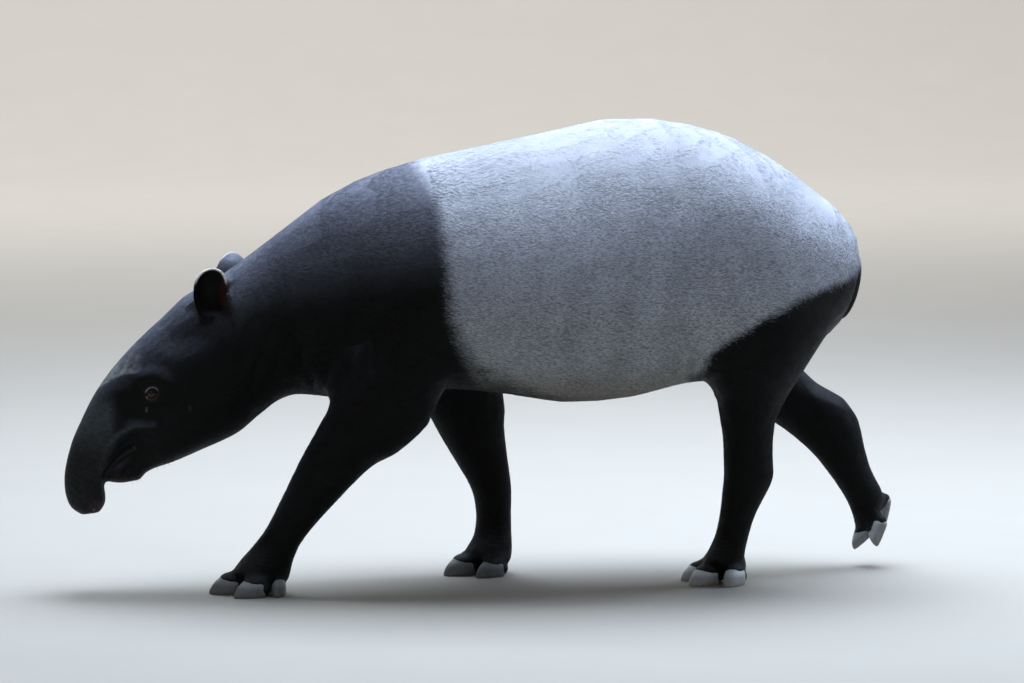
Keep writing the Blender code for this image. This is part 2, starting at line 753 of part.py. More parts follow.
def thin_cuts():
    cuts = [slab("trunk_cut", line, half_width) for line, half_width in TRUNK_CUTS]
    for leg in LEGS:
        cuts.append(slab("root_cut", leg.root_cut, 0.120, leg.side * 0.135))
        cuts.append(slab("knee_cut", leg.knee_cut, 0.090, leg.sections[-6].mid_y))
        cuts.append(slab("ankle_cut", leg.ankle_cut, 0.090, leg.sections[-2].mid_y))
    return cuts


def flesh_spots():
    """A point inside each piece of flesh."""
    spots = {
        "torso": (0.25, 0.0, 0.75),
        "neck": (-0.47, 0.0, 0.62),
        "head": (-0.70, 0.0, 0.48),
        "proboscis": (-0.92, 0.0, 0.27),
    }
    for leg in LEGS:
        cuts = (leg.root_cut, leg.knee_cut, leg.ankle_cut)
        middles = [((a[0] + b[0]) / 2, (a[1] + b[1]) / 2) for a, b in cuts]
        y = leg.sections[-5].mid_y
        for share, (above, below) in zip(("upper", "lower"), zip(middles, middles[1:])):
            spots[f"{leg.name}_{share}"] = ((above[0] + below[0]) / 2, y, (above[1] + below[1]) / 2)
        spots[f"{leg.name}_foot"] = foot_frame(leg.foot, leg.side) @ Vector(leg.foot.pads[0][0])
    return spots


def holds(tree, spot):
    """Whether a closed surface has a point inside it."""
    origin, ahead, crossings = Vector(spot), Vector((0.012, 0.037, 1)).normalized(), 0
    while True:
        hit = tree.ray_cast(origin, ahead)
        if hit[0] is None:
            return crossings % 2 == 1
        crossings += 1
        origin = hit[0] + ahead * 1e-5


def part_flesh(flesh):
    """Separate objects of the bodies that the thin cuts leave, each named by the spot that it holds."""
    spots = flesh_spots()
    pieces = []
    for part in loose_parts(flesh):
        mesh = flesh.data.copy()
        keep_only(mesh, part)
        bm = bmesh.new()
        bm.from_mesh(mesh)
        tree = BVHTree.FromBMesh(bm)
        bm.free()
        name = next((name for name, spot in spots.items() if holds(tree, spot)), None)
        if name:
            pieces.append(add_object(name, mesh))
            del spots[name]
    if spots:
        raise RuntimeError(f"no flesh found for {sorted(spots)}")
    remove([flesh])
    return pieces


# ---------------------------------------------------------------- finishes
COLOURS = {  # base colour, roughness
    "black_coat": ((0.018, 0.019, 0.022), 0.55),
    "white_coat": ((0.52, 0.55, 0.58), 0.60),
    "hoof_horn": ((0.13, 0.13, 0.125), 0.45),
    "eye": ((0.020, 0.012, 0.008), 0.08),
}


def finish(things):
    made = {}
    for name, (colour, roughness) in COLOURS.items():
        material = bpy.data.materials.new(name)
        material.use_nodes = True
        shader = material.node_tree.nodes["Principled BSDF"]
        shader.inputs["Base Color"].default_value = (*colour, 1)
        shader.inputs["Roughness"].default_value = roughness
        made[name] = material
    for thing in things:
        kind = "black_coat"
        if thing.name == "torso":
            kind = "white_coat"
        elif thing.name.startswith("hoof"):
            kind = "hoof_horn"
        elif thing.name.startswith("eye"):
            kind = "eye"
        thing.data.materials.clear()
        thing.data.materials.append(made[kind])
        thing.data.shade_smooth()


def centre(things):
    """Puts the middle of the bounding box over the origin."""
    points = np.array([v.co for thing in things for v in thing.data.vertices])
    middle = (points.min(0) + points.max(0)) / 2
    for thing in things:
        thing.data.transform(Matrix.Translation((-middle[0], -middle[1], 0)))


# ---------------------------------------------------------------- the animal
def main():
    empty_scene()
    lofts = [lofted("trunk", TRUNK), lofted("jaw", JAW)]
    hooves = []
    for leg in LEGS:
        lofts.append(lofted(leg.name, leg.sections))
        flesh, horn = foot_pieces(leg)
        lofts += flesh
        hooves += horn
    flesh = fused_flesh(lofts)

    places = [(name, side_place(*place)) for name, *place in EARS]
    ears = [ear(name, place) for name, place in places]
    ear_roots = [ear(name + "_root", place, cupped=False) for name, place in places]
    tail = lofted("tail", TAIL, steps=2, points=12)
    eyes, domes, openings = [], [], []
    for name, side in (("eye_left", -1), ("eye_right", 1)):
        middle = (EYE_MIDDLE[0], side * EYE_OUT, EYE_MIDDLE[1])
        eyes.append(ball(name, middle, (EYE_RADIUS,) * 3, detail=3))
        domes.append(ball("lids", middle, (EYE_RADIUS + LID_THICKNESS,) * 3, detail=3))
        openings.append(almond("opening", side))
    combine(flesh, domes, "UNION")
    floor = box("floor", Matrix.Translation((0, 0, PAD_CLEARANCE - 0.05)), (3, 2, 0.1))
    seats = [grown(thing, SEAT) for thing in [*hooves, *ear_roots, tail, *eyes]]
    remove(ear_roots)
    combine(flesh, [floor, *seats, *openings, mouth_cutter(), *nostril_cutters()], "DIFFERENCE")
    combine(flesh, thin_cuts(), "DIFFERENCE")
    nodes = [*part_flesh(flesh), *hooves, *ears, tail, *eyes]
    centre(nodes)
    finish(nodes)


main()
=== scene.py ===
"""The looks of a life-size Malayan tapir: hide, flat coat, eyes, lids, hooves and whiskers, on a stage."""

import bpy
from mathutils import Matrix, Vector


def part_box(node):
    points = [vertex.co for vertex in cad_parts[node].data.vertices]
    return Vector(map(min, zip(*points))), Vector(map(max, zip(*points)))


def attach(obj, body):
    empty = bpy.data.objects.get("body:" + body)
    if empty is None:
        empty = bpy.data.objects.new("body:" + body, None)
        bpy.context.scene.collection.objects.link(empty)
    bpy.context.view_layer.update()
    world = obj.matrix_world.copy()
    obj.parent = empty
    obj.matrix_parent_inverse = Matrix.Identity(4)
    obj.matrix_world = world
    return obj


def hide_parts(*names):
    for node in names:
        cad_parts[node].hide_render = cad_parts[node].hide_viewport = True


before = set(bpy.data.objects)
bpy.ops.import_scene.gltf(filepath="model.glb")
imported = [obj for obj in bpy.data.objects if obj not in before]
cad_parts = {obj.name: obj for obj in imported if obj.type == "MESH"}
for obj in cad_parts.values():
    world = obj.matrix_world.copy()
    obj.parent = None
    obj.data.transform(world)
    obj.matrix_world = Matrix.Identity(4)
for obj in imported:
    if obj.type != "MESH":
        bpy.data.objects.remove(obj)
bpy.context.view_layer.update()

import math

import bmesh
import bpy
import numpy as np
from bpy.props import FloatProperty, FloatVectorProperty, IntProperty, PointerProperty
from mathutils import Matrix, Vector
from mathutils.bvhtree import BVHTree

bl_info = {
    "name": "Malayan tapir",
    "version": (1, 0, 0),
    "blender": (4, 5, 0),
    "location": "View3D > Sidebar > Tapir",
    "description": "Builds the hide, coat, eyes, hooves and stage of a life-size tapir around its solids",
    "category": "Object",
}

BODY = "root"
HOOVES = sorted(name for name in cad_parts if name.startswith("hoof_"))
EYES = ("eye_left", "eye_right")
FLESH = sorted(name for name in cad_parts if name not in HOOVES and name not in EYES)

# ---------------------------------------------------------------- where things are, in metres
VIEWPOINT = (-1.0472, -8.9337, 1.550)
VIEW_AZIMUTH = -7.0  # degrees, swung towards the head
VIEW_DROP = 6.234  # degrees, looking down
VIEW_LENS = 137.0  # mm on a 36 mm wide frame

# The saddle's border as it runs over the widest part of the flank, (x, z), seen from the viewpoint.
FLANK = -0.251  # Y of that part
SHOULDER_BORDER = (
    (-0.207, 1.006), (-0.171, 0.961), (-0.151, 0.916), (-0.135, 0.848), (-0.126, 0.781), (-0.122, 0.713),
    (-0.117, 0.645), (-0.099, 0.588), (-0.081, 0.554), (-0.065, 0.526), (-0.054, 0.503),
)
BELLY_BORDER = (
    (0.011, 0.497), (0.052, 0.484), (0.107, 0.464), (0.160, 0.450), (0.230, 0.438), (0.300, 0.400),
)
THIGH_BORDER = (
    (0.440, 0.420), (0.436, 0.480), (0.427, 0.506), (0.449, 0.519), (0.468, 0.535), (0.472, 0.564),
    (0.495, 0.580), (0.541, 0.602), (0.576, 0.625), (0.610, 0.647), (0.645, 0.658), (0.679, 0.681),
    (0.702, 0.696), (0.749, 0.707), (0.795, 0.730), (0.818, 0.752), (0.874, 0.764),
)
AROUND = ((1.300, 0.764), (1.300, 1.400), (-0.240, 1.400))  # closes the outline, well clear of the back
SADDLE = (*SHOULDER_BORDER, *BELLY_BORDER, *THIGH_BORDER, *AROUND)

HOLLOWS = (  # soft upright swells and hollows of the flank: x, half width, height
    (0.350, 0.040, 0.0050),
    (0.450, 0.035, -0.0045),
    (0.560, 0.045, -0.0030),
    (0.665, 0.040, 0.0045),
)

# Lines on the face in side view, (x, z).
MOUTH_LINE = (
    (-0.899, 0.268), (-0.895, 0.281), (-0.882, 0.299), (-0.866, 0.316), (-0.848, 0.331), (-0.828, 0.341),
)
LOWER_LIP = tuple((x + 0.0040, z - 0.0034) for x, z in MOUTH_LINE[1:])
LIP_RED = (-0.871, 0.278)
UPPER_LIP_FOLD = ((-0.901, 0.296), (-0.887, 0.330), (-0.865, 0.360), (-0.829, 0.384), (-0.784, 0.388))
CHIN = (-0.820, 0.268)  # (x, z) of the fullest part of the chin
SNOUT_TIP = (-0.930, 0.0, 0.186)
NOSE_PAD = (-0.913, 0.203)  # (x, z) of the bare skin round the nostrils
# The painted grey highlight over the wrinkled bridge of the nose, (x, z): crisp along its lower edge, fading
# upwards.
NOSE_HIGHLIGHT_EDGE = (
    (-0.960, 0.430), (-0.892, 0.482), (-0.873, 0.492), (-0.857, 0.503),
    (-0.836, 0.508), (-0.820, 0.510), (-0.808, 0.519), (-0.800, 0.540),
)
NOSE_HIGHLIGHT_TOP = ((-0.790, 0.575), (-0.800, 0.660), (-0.960, 0.660))
FLECKS_AND_GLINTS = (  # small pale marks of the face: (x, z), half width, half height, strength
    ((-0.800, 0.429), 0.0035, 0.0085, 0.40),
    ((-0.702, 0.435), 0.0040, 0.0100, 0.15),
    # painted highlight: a glint of wet skin at the mouth's corner
    ((-0.829, 0.340), 0.0030, 0.0025, 0.60),
    # painted highlight: a glint of wet skin at the nostril
    ((-0.921, 0.194), 0.0030, 0.0030, 1.0),
)

# Flesh at each hoof, middle and radii as shares of its length, width and height: over it, and behind it.
TOE_FLESH = (((0.26, 0.0, 0.80), (0.44, 0.53, 0.42)), ((0.10, 0.0, 0.44), (0.30, 0.60, 0.52)))
CHEST_FLESH = ((-0.370, 0.115, 0.472), (-0.366, 0.075, 0.466))  # x, |y|, z of the flesh before the forelegs
CHEST_RADIUS = 0.026
ROUNDED = ("ear_left", "ear_right", "tail")  # nodes whose facets are rounded before they are fused
SWELL = 0.0005  # how far the solids are swollen, so that neighbours meet
FULL_GRAIN = 0.0030  # the grain that the softening is set for
CLEARANCE = 0.0020  # between the hide and the floor
EYE_OPENING = 0.0125  # radius of the opening in the hide before an eye
CROWDING = 1.25  # points asked for, for each tuft that finds room
SPACING = 0.62  # least distance between tufts, as a share of their mean distance


# ---------------------------------------------------------------- numbers
def smooth(value, start, end):
    """0 before start, 1 after end, and an even curve between."""
    t = np.clip((np.asarray(value, float) - start) / (end - start), 0, 1)
    return t * t * (3 - 2 * t)


def fall(value, start, end):
    """1 before start, 0 after end."""
    return 1 - smooth(value, start, end)


def bell(value, reach):
    """1 at nought, falling off evenly on both sides."""
    return np.exp(-((value / reach) ** 2))


def line_distance(points, line):
    """How far each point is from a line of points, in as many dimensions as they have."""
    line = np.array(line, float)
    nearest = np.full(len(points), np.inf)
    for start, end in zip(line, line[1:]):
        run = end - start
        share = np.clip(((points - start) @ run) / (run @ run), 0, 1)
        gap = points - start - share[:, None] * run
        nearest = np.minimum(nearest, np.sqrt((gap * gap).sum(1)))
    return nearest


def inside(points, polygon):
    """Which (x, z) points lie in a closed polygon."""
    polygon = np.array(polygon, float)
    x, z = points.T
    found = np.zeros(len(points), bool)
    for (x0, z0), (x1, z1) in zip(polygon, np.roll(polygon, -1, 0)):
        crosses = (z0 > z) != (z1 > z)
        with np.errstate(divide="ignore", invalid="ignore"):
            found ^= crosses & (x < (x1 - x0) * (z - z0) / (z1 - z0) + x0)
    return found


def on_flank(points):
    """Carries points, or their mirror images on the left, along the line of sight to the flank: (x, z)."""
    points = np.column_stack([points[:, 0], -np.abs(points[:, 1]), points[:, 2]])
    eye = np.array(VIEWPOINT)
    share = (FLANK - points[:, 1]) / (points[:, 1] - eye[1])
    moved = points + share[:, None] * (points - eye)
    return moved[:, [0, 2]]


def saddle_depth(points):
    """How deep each point lies inside the pale saddle, in metres; below zero outside it."""
    flat = on_flank(points)
    distance = line_distance(flat, (*SADDLE, SADDLE[0]))
    return np.where(inside(flat, SADDLE), distance, -distance)


# ---------------------------------------------------------------- ears, as the solids have them
EAR_LENGTH, EAR_WIDTH = 0.111, 0.078
EAR_ROWS = (  # share of the length, half width, bend
    (-0.02, 0.60, 0.00),
    (0.14, 0.82, 0.01),
    (0.34, 0.97, 0.02),
    (0.56, 1.00, 0.03),
    (0.76, 0.90, 0.02),
    (0.92, 0.62, -0.01),
    (0.99, 0.30, -0.03),
)
EAR_EDGE = [  # up one edge, over the tip and down the other
    (sign * 0.5 * EAR_WIDTH * wide, EAR_LENGTH * bend, EAR_LENGTH * along)
    for sign, rows in ((1, EAR_ROWS), (-1, EAR_ROWS[::-1]))
    for along, wide, bend in rows
]
EAR_SPOT = (0.012, -0.012, 0.10)  # a pale fleck at the foot of the cup, Z as a share of the length
EARS = (  # side, root, lean, swing, twist
    (-1, (-0.655, 0.078, 0.646), 14, 4, 10),
    (1, (-0.626, 0.078, 0.674), 22, 28, -20),
)


def side_frame(side, x, y, z, *turns):
    """A frame |y| out from the middle, turned by (degrees, axis) in turn; the right mirrors the left."""
    here = Matrix.Translation((x, -abs(y), z))
    for degrees, axis in turns:
        here = here @ Matrix.Rotation(math.radians(degrees), 4, axis)
    return here if side < 0 else Matrix.Diagonal((1, -1, 1, 1)) @ here


def ear_frame(side, root, lean, swing, twist):
    """X runs across the ear, Y out of the back of its cup and Z up to its tip."""
    return side_frame(side, *root, (swing, "Y"), (lean, "X"), (twist, "Z"))


def in_frame(points, matrix):
    """Points in a frame's own coordinates."""
    back = np.array(matrix.inverted())
    return points @ back[:3, :3].T + back[:3, 3]


def ear_masks(points, normals):
    """(on an ear, on its rim, inside its cup), each from 0 to 1."""
    on_ear, rim, cup = np.zeros((3, len(points)))
    for ear in EARS:
        matrix = ear_frame(*ear)
        local = in_frame(points, matrix)
        turned = normals @ np.array(matrix.inverted())[:3, :3].T
        along = local[:, 2] / EAR_LENGTH
        near = (np.abs(local[:, :2]) < (0.047, 0.050)).all(1) & (along > -0.25) & (along < 1.1)
        here = smooth(along, -0.10, 0.10) * near
        distance = line_distance(local, EAR_EDGE)
        on_ear = np.maximum(on_ear, here)
        rim = np.maximum(rim, near * fall(distance, 0.0058, 0.0085) * smooth(along, 0.60, 0.78))
        spot = np.linalg.norm(local - np.array(EAR_SPOT) * (1, 1, EAR_LENGTH), axis=1)
        rim = np.maximum(rim, near * fall(spot, 0.004, 0.008))
        cup = np.maximum(cup, here * smooth(-turned[:, 1], 0.0, 0.4))
    return on_ear, rim, cup


def reddened(points):
    """Where the skin inside an ear shows red: along the hind edge of its cup."""
    share = np.zeros(len(points))
    for ear in EARS:
        local = in_frame(points, ear_frame(*ear))
        inner = bell(local[:, 0] - 0.40 * EAR_WIDTH, 0.006)
        share = np.maximum(share, inner * smooth(local[:, 2] / EAR_LENGTH, 0.1, 0.3))
    return share


def nose_highlight(points):
    """The share of painted grey highlight over the wrinkled bridge of the nose."""
    flat = points[:, [0, 2]]
    outline = (*NOSE_HIGHLIGHT_EDGE, *NOSE_HIGHLIGHT_TOP)
    lower = line_distance(flat, NOSE_HIGHLIGHT_EDGE)
    crisp = np.where(inside(flat, outline), smooth(lower, 0.0, 0.005), 0.0)
    return crisp * bell(lower, 0.044) * fall(flat[:, 0], -0.845, -0.800)


# ---------------------------------------------------------------- meshes
def add_object(name, mesh):
    """A new object in the scene."""
    thing = bpy.data.objects.new(name, mesh)
    bpy.context.scene.collection.objects.link(thing)
    return thing


def mesh_of(bm, name):
    """A mesh made of a bmesh, which is let go."""
    mesh = bpy.data.meshes.new(name)
    bm.to_mesh(mesh)
    bm.free()
    return mesh


def made_of(thing):
    """The mesh that an object's modifiers make."""
    return bpy.data.meshes.new_from_object(thing.evaluated_get(bpy.context.evaluated_depsgraph_get()))


def modify(thing, kind, **settings):
    """Replaces an object's mesh with what one modifier makes of it."""
    modifier = thing.modifiers.new(kind, kind)
    for name, value in settings.items():
        setattr(modifier, name, value)
    old, thing.data = thing.data, made_of(thing)
    thing.modifiers.clear()
    thing.vertex_groups.clear()
    bpy.data.meshes.remove(old)


def node_mesh(name):
    """A merged copy of a solid's mesh, as a bmesh."""
    bm = bmesh.new()
    bm.from_mesh(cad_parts[name].data)
    bmesh.ops.remove_doubles(bm, verts=bm.verts, dist=1e-6)
    bm.normal_update()
    return bm


def rounded(mesh, levels):
    """The same mesh with its facets rounded off, still passing through its own points."""
    aim = places(mesh)
    made = mesh
    for _ in range(3):
        set_places(mesh, places(mesh) + 0.9 * (aim - places(made)[: len(aim)]))
        thing = add_object("rounded", mesh.copy())
        modify(thing, "SUBSURF", levels=levels, render_levels=levels)
        made = thing.data
        bpy.data.objects.remove(thing)
    bpy.data.meshes.remove(mesh)
    return made


def joined_nodes(name, nodes):
    """One mesh of several solids, each swollen by a hair's breadth so that they meet, and the soft flesh."""
    whole = bmesh.new()
    for node in nodes:
        bm = node_mesh(node)
        for vert in bm.verts:
            vert.co += vert.normal * (SWELL + 0.0008 * (node in ROUNDED))
        part = mesh_of(bm, "part")
        if node in ROUNDED:
            part = rounded(part, 2)
        whole.from_mesh(part)
        bpy.data.meshes.remove(part)
    lumps = [
        toe_frame(hoof) @ Matrix.Translation(middle) @ Matrix.Diagonal((*radii, 1))
        for hoof in HOOVES
        for middle, radii in TOE_FLESH
    ]
    lumps += [
        Matrix.Translation((x, side * y, z)) @ Matrix.Scale(CHEST_RADIUS, 4)
        for x, y, z in CHEST_FLESH
        for side in (-1, 1)
    ]
    for lump in lumps:
        bmesh.ops.create_icosphere(whole, subdivisions=4, radius=1, matrix=lump)
    return mesh_of(whole, name)


def level_with(bm, face):
    """All the faces of a mesh that face the way one does."""
    return [other for other in bm.faces if other.normal.angle(face.normal, 9) < 0.02]


def sole_of(bm):
    """A face of a hoof's sole, which is the widest of its flats."""
    return max(bm.faces, key=lambda face: sum(other.calc_area() for other in level_with(bm, face)))


def toe_frame(name):
    """A hoof's own frame, one unit long, wide and high: X points ahead along the sole and Z up from it."""
    bm = node_mesh(name)
    sole = sole_of(bm)
    up = -sole.normal
    base = sole.calc_center_median()
    points = [v.co.copy() for v in bm.verts]
    bm.free()
    high = max((p - base).dot(up) for p in points)
    foot = [p for p in points if (p - base).dot(up) < 0.05 * high]
    head = [p for p in points if (p - base).dot(up) > 0.95 * high]
    lean = sum(foot, Vector()) / len(foot) - sum(head, Vector()) / len(head)
    ahead = (lean - up * lean.dot(up)).normalized()
    across = up.cross(ahead)
    far = max((p - base).dot(ahead) for p in foot)
    near = min((p - base).dot(ahead) for p in foot)
    sides = [(p - base).dot(across) for p in foot]
    rear = base + ahead * near + across * (max(sides) + min(sides)) / 2
    rear -= up * (rear - base).dot(up)
    turn = Matrix((ahead, across, up)).transposed().to_4x4()
    size = (far - near, max(sides) - min(sides), high, 1)
    return Matrix.Translation(rear) @ turn @ Matrix.Diagonal(size)


def keep_largest(thing):
    """Drops everything but the largest connected body of a mesh."""
    bm = bmesh.new()
    bm.from_mesh(thing.data)
    left, best = set(bm.verts), []
    while left:
        start = left.pop()
        part, stack = [start], [start]
        while stack:
            for edge in stack.pop().link_edges:
                for vert in edge.verts:
                    if vert in left:
                        left.remove(vert)
                        part.append(vert)
                        stack.append(vert)
        if len(part) > len(best):
            best = part
    kept = set(best)
    bmesh.ops.delete(bm, geom=[v for v in bm.verts if v not in kept], context="VERTS")
    bm.to_mesh(thing.data)
    bm.free()


def read(items, field, size=3, kind=np.float32):
    """One field of a mesh's items, as rows of numbers."""
    found = np.empty(len(items) * size, kind)
    items.foreach_get(field, found)
    return found.reshape(-1, size).astype(float if kind is np.float32 else int)


def places(mesh):
    """Where a mesh's points are."""
    return read(mesh.vertices, "co")


def normals_of(mesh):
    """The way each point of a mesh faces."""
    return read(mesh.vertex_normals, "vector")


def stored(mesh, name):
    """The numbers kept for each point of a mesh under a name."""
    return read(mesh.attributes[name].data, "value", 1)[:, 0]


def set_places(mesh, co):
    """Moves a mesh's points."""
    mesh.vertices.foreach_set("co", np.ascontiguousarray(co, np.float32).ravel())
    mesh.update()


def store(mesh, name, values, kind="FLOAT"):
    """Keeps a number, vector or colour for each point of a mesh."""
    attribute = mesh.attributes.get(name) or mesh.attributes.new(name, kind, "POINT")
    field = {"FLOAT": "value", "INT": "value", "FLOAT_VECTOR": "vector", "FLOAT_COLOR": "color"}[kind]
    dtype = np.int32 if kind == "INT" else np.float32
    attribute.data.foreach_set(field, np.ascontiguousarray(values, dtype).ravel())


def weight(thing, name, values):
    """A vertex group with a weight for each point, in twentieths."""
    group = thing.vertex_groups.new(name=name)
    for step in range(1, 21):
        chosen = np.nonzero(np.round(np.asarray(values) * 20) == step)[0]
        if len(chosen):
            group.add(chosen.tolist(), step / 20, "REPLACE")


def soften(thing, repeats, values=None):
    """Evens a surface, by as much as the weights say."""
    if values is not None:
        weight(thing, "soften", values)
    modify(thing, "SMOOTH", factor=0.5, iterations=repeats, vertex_group="" if values is None else "soften")


# ---------------------------------------------------------------- the hide's shape
def trunk_share(co):
    """1 on the trunk and neck, 0 on the face, the ears, the legs and the tail."""
    x, y, z = co.T
    tail = smooth(x, 0.800, 0.830) * fall(np.abs(y), 0.032, 0.060) * fall(z, 0.73, 0.80)
    axes = [[ear_frame(*ear) @ Vector((0, 0, end)) for end in (0.0, EAR_LENGTH)] for ear in EARS]
    ears = np.minimum.reduce([line_distance(co, axis) for axis in axes])
    throat = fall(x, -0.52, -0.46)
    low = smooth(z, 0.38, 0.50) * (1 - throat) + smooth(z, 0.30, 0.36) * throat
    return smooth(x, -0.72, -0.60) * low * (1 - tail) * smooth(ears, 0.048, 0.080)


def even_body(hide, reach):
    """Rounds the trunk's facets without shrinking: twice the softened shape less the twice softened one."""
    coarse = add_object("coarse", hide.data.copy())
    modify(coarse, "REMESH", mode="VOXEL", voxel_size=0.010)
    soften(coarse, reach)
    once = places(coarse.data)
    soften(coarse, reach)
    set_places(coarse.data, 2 * once - places(coarse.data))
    modify(coarse, "SUBSURF", levels=1, render_levels=1)
    weight(hide, "trunk", trunk_share(places(hide.data)))
    modify(hide, "SHRINKWRAP", target=coarse, vertex_group="trunk")
    bpy.data.objects.remove(coarse)


def eye_frame(name):
    """X runs along the slit towards the nose, Y points into the head, Z across the slit."""
    low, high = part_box(name)
    return side_frame(-1 if name.endswith("left") else 1, *(low + high) / 2, (-12, "Z"), (140, "Y"))


def sink_eyes(co, radius):
    """Clears the hide away from in front of the eyeballs, where the lids take its place."""
    for name in EYES:
        matrix = eye_frame(name)
        local = in_frame(co, matrix)
        out = -local[:, 1]
        near = (np.linalg.norm(local, axis=1) < 0.06) & (out > -0.02)
        pit = near * fall(np.hypot(local[:, 0] / 1.12, local[:, 2]), radius, radius * 1.45)
        inwards = np.array(matrix.to_3x3() @ Vector((0, 1, 0)))
        co = co + (np.maximum(out - 0.002, 0) * pit)[:, None] * inwards
    return co


def folds(co, normals, skin):
    """The shape that lies over the solids: mouth, lips, wrinkles and the hide's slack folds."""
    x, y, z = co.T
    aside = np.abs(y)
    face = smooth(-x, 0.60, 0.68)
    profile = co[:, [0, 2]]
    mouth = line_distance(profile, MOUTH_LINE)
    rise = -skin.mouth_depth * fall(mouth, 0.0, 0.0050) * face
    lip = line_distance(profile, LOWER_LIP) - 0.001
    rise += 0.0020 * bell(lip, 0.0040) * face
    chin = np.hypot(x - CHIN[0], z - CHIN[1])
    rise += 0.0050 * bell(chin, 0.013) * face * smooth(-normals[:, 2], 0.1, 0.6)
    fold = line_distance(profile, UPPER_LIP_FOLD)
    rise += 0.0022 * bell(fold, 0.010) * face
    rise -= 0.0020 * bell(fold - 0.016, 0.005) * face * smooth(-z, -0.40, -0.36)
    # uneven creases across the sides of the trunk-like snout
    snout = smooth(-z, -0.44, -0.34) * smooth(-x, 0.865, 0.90) * (0.5 + 0.5 * np.sin(y * 60 + z * 34 + 1.0))
    snout *= smooth(np.abs(normals[:, 1]), 0.35, 0.75)
    rise += 0.0006 * np.sin(z * 430 + 2.4 * np.sin(y * 70 + z * 50) + 60 * x + 2 * np.sin(x * 170)) * snout
    # slack folds of the flank, the groin and the armpit
    flank = smooth(aside, 0.10, 0.20) * smooth(z, 0.46, 0.56) * fall(z, 0.86, 0.98)
    slack = skin.fold_depth * np.sin(x * 52 + 2.2 * np.sin(z * 7.0) + z * 5) * flank
    rise += slack * smooth(x, 0.0, 0.15) * fall(x, 0.48, 0.62)
    hollows = fall(np.abs(z - 0.70), 0.10, 0.22)
    for middle, reach, height in HOLLOWS:
        swell = height * bell(x - middle - 0.25 * (z - 0.70), reach)
        rise += swell * hollows * smooth(aside, 0.12, 0.20)
    for middle_x, middle_z, reach in ((-0.135, 0.470, 0.075), (0.470, 0.520, 0.080)):
        spot = np.hypot(x - middle_x, z - middle_z)
        ripples = 0.7 * skin.fold_depth * np.sin(spot * 190) * bell(spot, reach)
        rise += ripples * smooth(aside, 0.10, 0.16)
    # creases of the neck behind the jaw
    neck = bell(x + 0.560, 0.05) * smooth(z, 0.36, 0.42) * fall(z, 0.60, 0.70)
    rise += 0.5 * skin.fold_depth * np.sin((x * 0.9 - z * 0.35) * 150) * neck
    # wrinkles where the legs bend
    for height in (0.100, 0.215):
        bend = bell(z - height, 0.030) * smooth(x, -0.80, -0.72)
        rise += 0.0003 * np.sin(z * 620 + x * 60) * bend
    return co + normals * rise[:, None]


def build_hide(skin):
    """The one skin that stands for all the flesh."""
    hide = add_object("hide", joined_nodes("hide", FLESH))
    grain = skin.voxel * 1.0
    modify(hide, "REMESH", mode="VOXEL", voxel_size=grain)
    keep_largest(hide)
    even_body(hide, skin.evening)
    smooth_hide(hide, FULL_GRAIN / grain)
    co, normals = places(hide.data), normals_of(hide.data)
    inset = skin.coat_depth * (1 - 0.8 * ear_masks(co, normals)[0])
    co = folds(co - normals * inset[:, None], normals, skin)
    co[:, 2] = np.maximum(co[:, 2], CLEARANCE)
    set_places(hide.data, sink_eyes(co, EYE_OPENING))
    weight(hide, "thin", 1 - fineness(places(hide.data), normals_of(hide.data)))
    ratio = min(1.0, skin.triangles / (2 * len(hide.data.polygons)))
    modify(hide, "DECIMATE", ratio=ratio, vertex_group="thin", use_collapse_triangulate=True)
    hide.data.shade_smooth()
    hide.data.name = "hide"
    return hide


def smooth_hide(hide, step):
    """Evens the trunk, throat and rump most, then the legs, then all but the ears."""
    co = places(hide.data)
    x, _, z = co.T
    trunk = trunk_share(co)
    on_ear = ear_masks(co, normals_of(hide.data))[0]
    throat = smooth(x, -0.74, -0.66) * fall(x, -0.50, -0.42)
    throat = throat * smooth(z, 0.30, 0.33) * fall(z, 0.42, 0.52)
    chest = np.exp(-(((x + 0.380) / 0.045) ** 2) - ((z - 0.455) / 0.040) ** 2)
    rump = smooth(x, 0.76, 0.79) * smooth(z, 0.70, 0.72) * fall(z, 0.80, 0.86)
    legs = fall(z, 0.40, 0.50) * smooth(x, -0.66, -0.60) * (0.25 + 0.75 * smooth(z, 0.06, 0.11))
    soften(hide, round(60 * step**2), np.maximum.reduce([trunk, throat, chest, 0.5 * rump]))
    soften(hide, round(40 * step**2), np.maximum(legs, 0.5 * trunk))
    soften(hide, max(2, round(9 * step**2)), 1 - 0.75 * on_ear)


def fineness(co, normals):
    """How much of the hide's detail is kept: most on the ears and face, less on feet, legs and tail."""
    x, y, z = co.T
    tail = smooth(x, 0.79, 0.82) * fall(np.abs(y), 0.04, 0.06)
    shares = (
        0.86 * smooth(-x, 0.60, 0.70),
        0.72 * fall(z, 0.10, 0.16),
        0.55 * fall(z, 0.40, 0.50),
        0.55 * tail,
        0.92 * ear_masks(co, normals)[0],
    )
    return np.maximum.reduce(shares)


# ---------------------------------------------------------------- what the hide knows about its coat
def lie_of_the_coat(co, normals):
    """The way the hairs lie: from the nose over the back to the tail, down the flanks and the legs."""
    x, y, z = co.T
    above_foot = smooth(z, 0.16, 0.22)
    leg = fall(z, 0.36, 0.54)
    leg *= np.maximum(smooth(x, -0.58, -0.46), 1 - above_foot)
    head = smooth(-x, 0.55, 0.66) * above_foot
    run = np.column_stack([np.ones_like(x), np.zeros_like(x), -0.28 * smooth(np.abs(y), 0.06, 0.22)])
    run = run * (1 - leg)[:, None] + np.array((0.22, 0.0, -1.0)) * leg[:, None]
    run = run * (1 - head)[:, None] + np.array((0.74, 0.0, 0.60)) * head[:, None]
    sway = 0.18 * np.sin(x * 23 + z * 31) + 0.12 * np.sin(x * 57 - z * 41)
    run[:, 2] += sway * (1 - head) - 0.9 * smooth(x, 0.72, 0.83) * (1 - leg)
    run -= normals * (run * normals).sum(1)[:, None]
    run += 1e-4
    return run / np.linalg.norm(run, axis=1)[:, None]


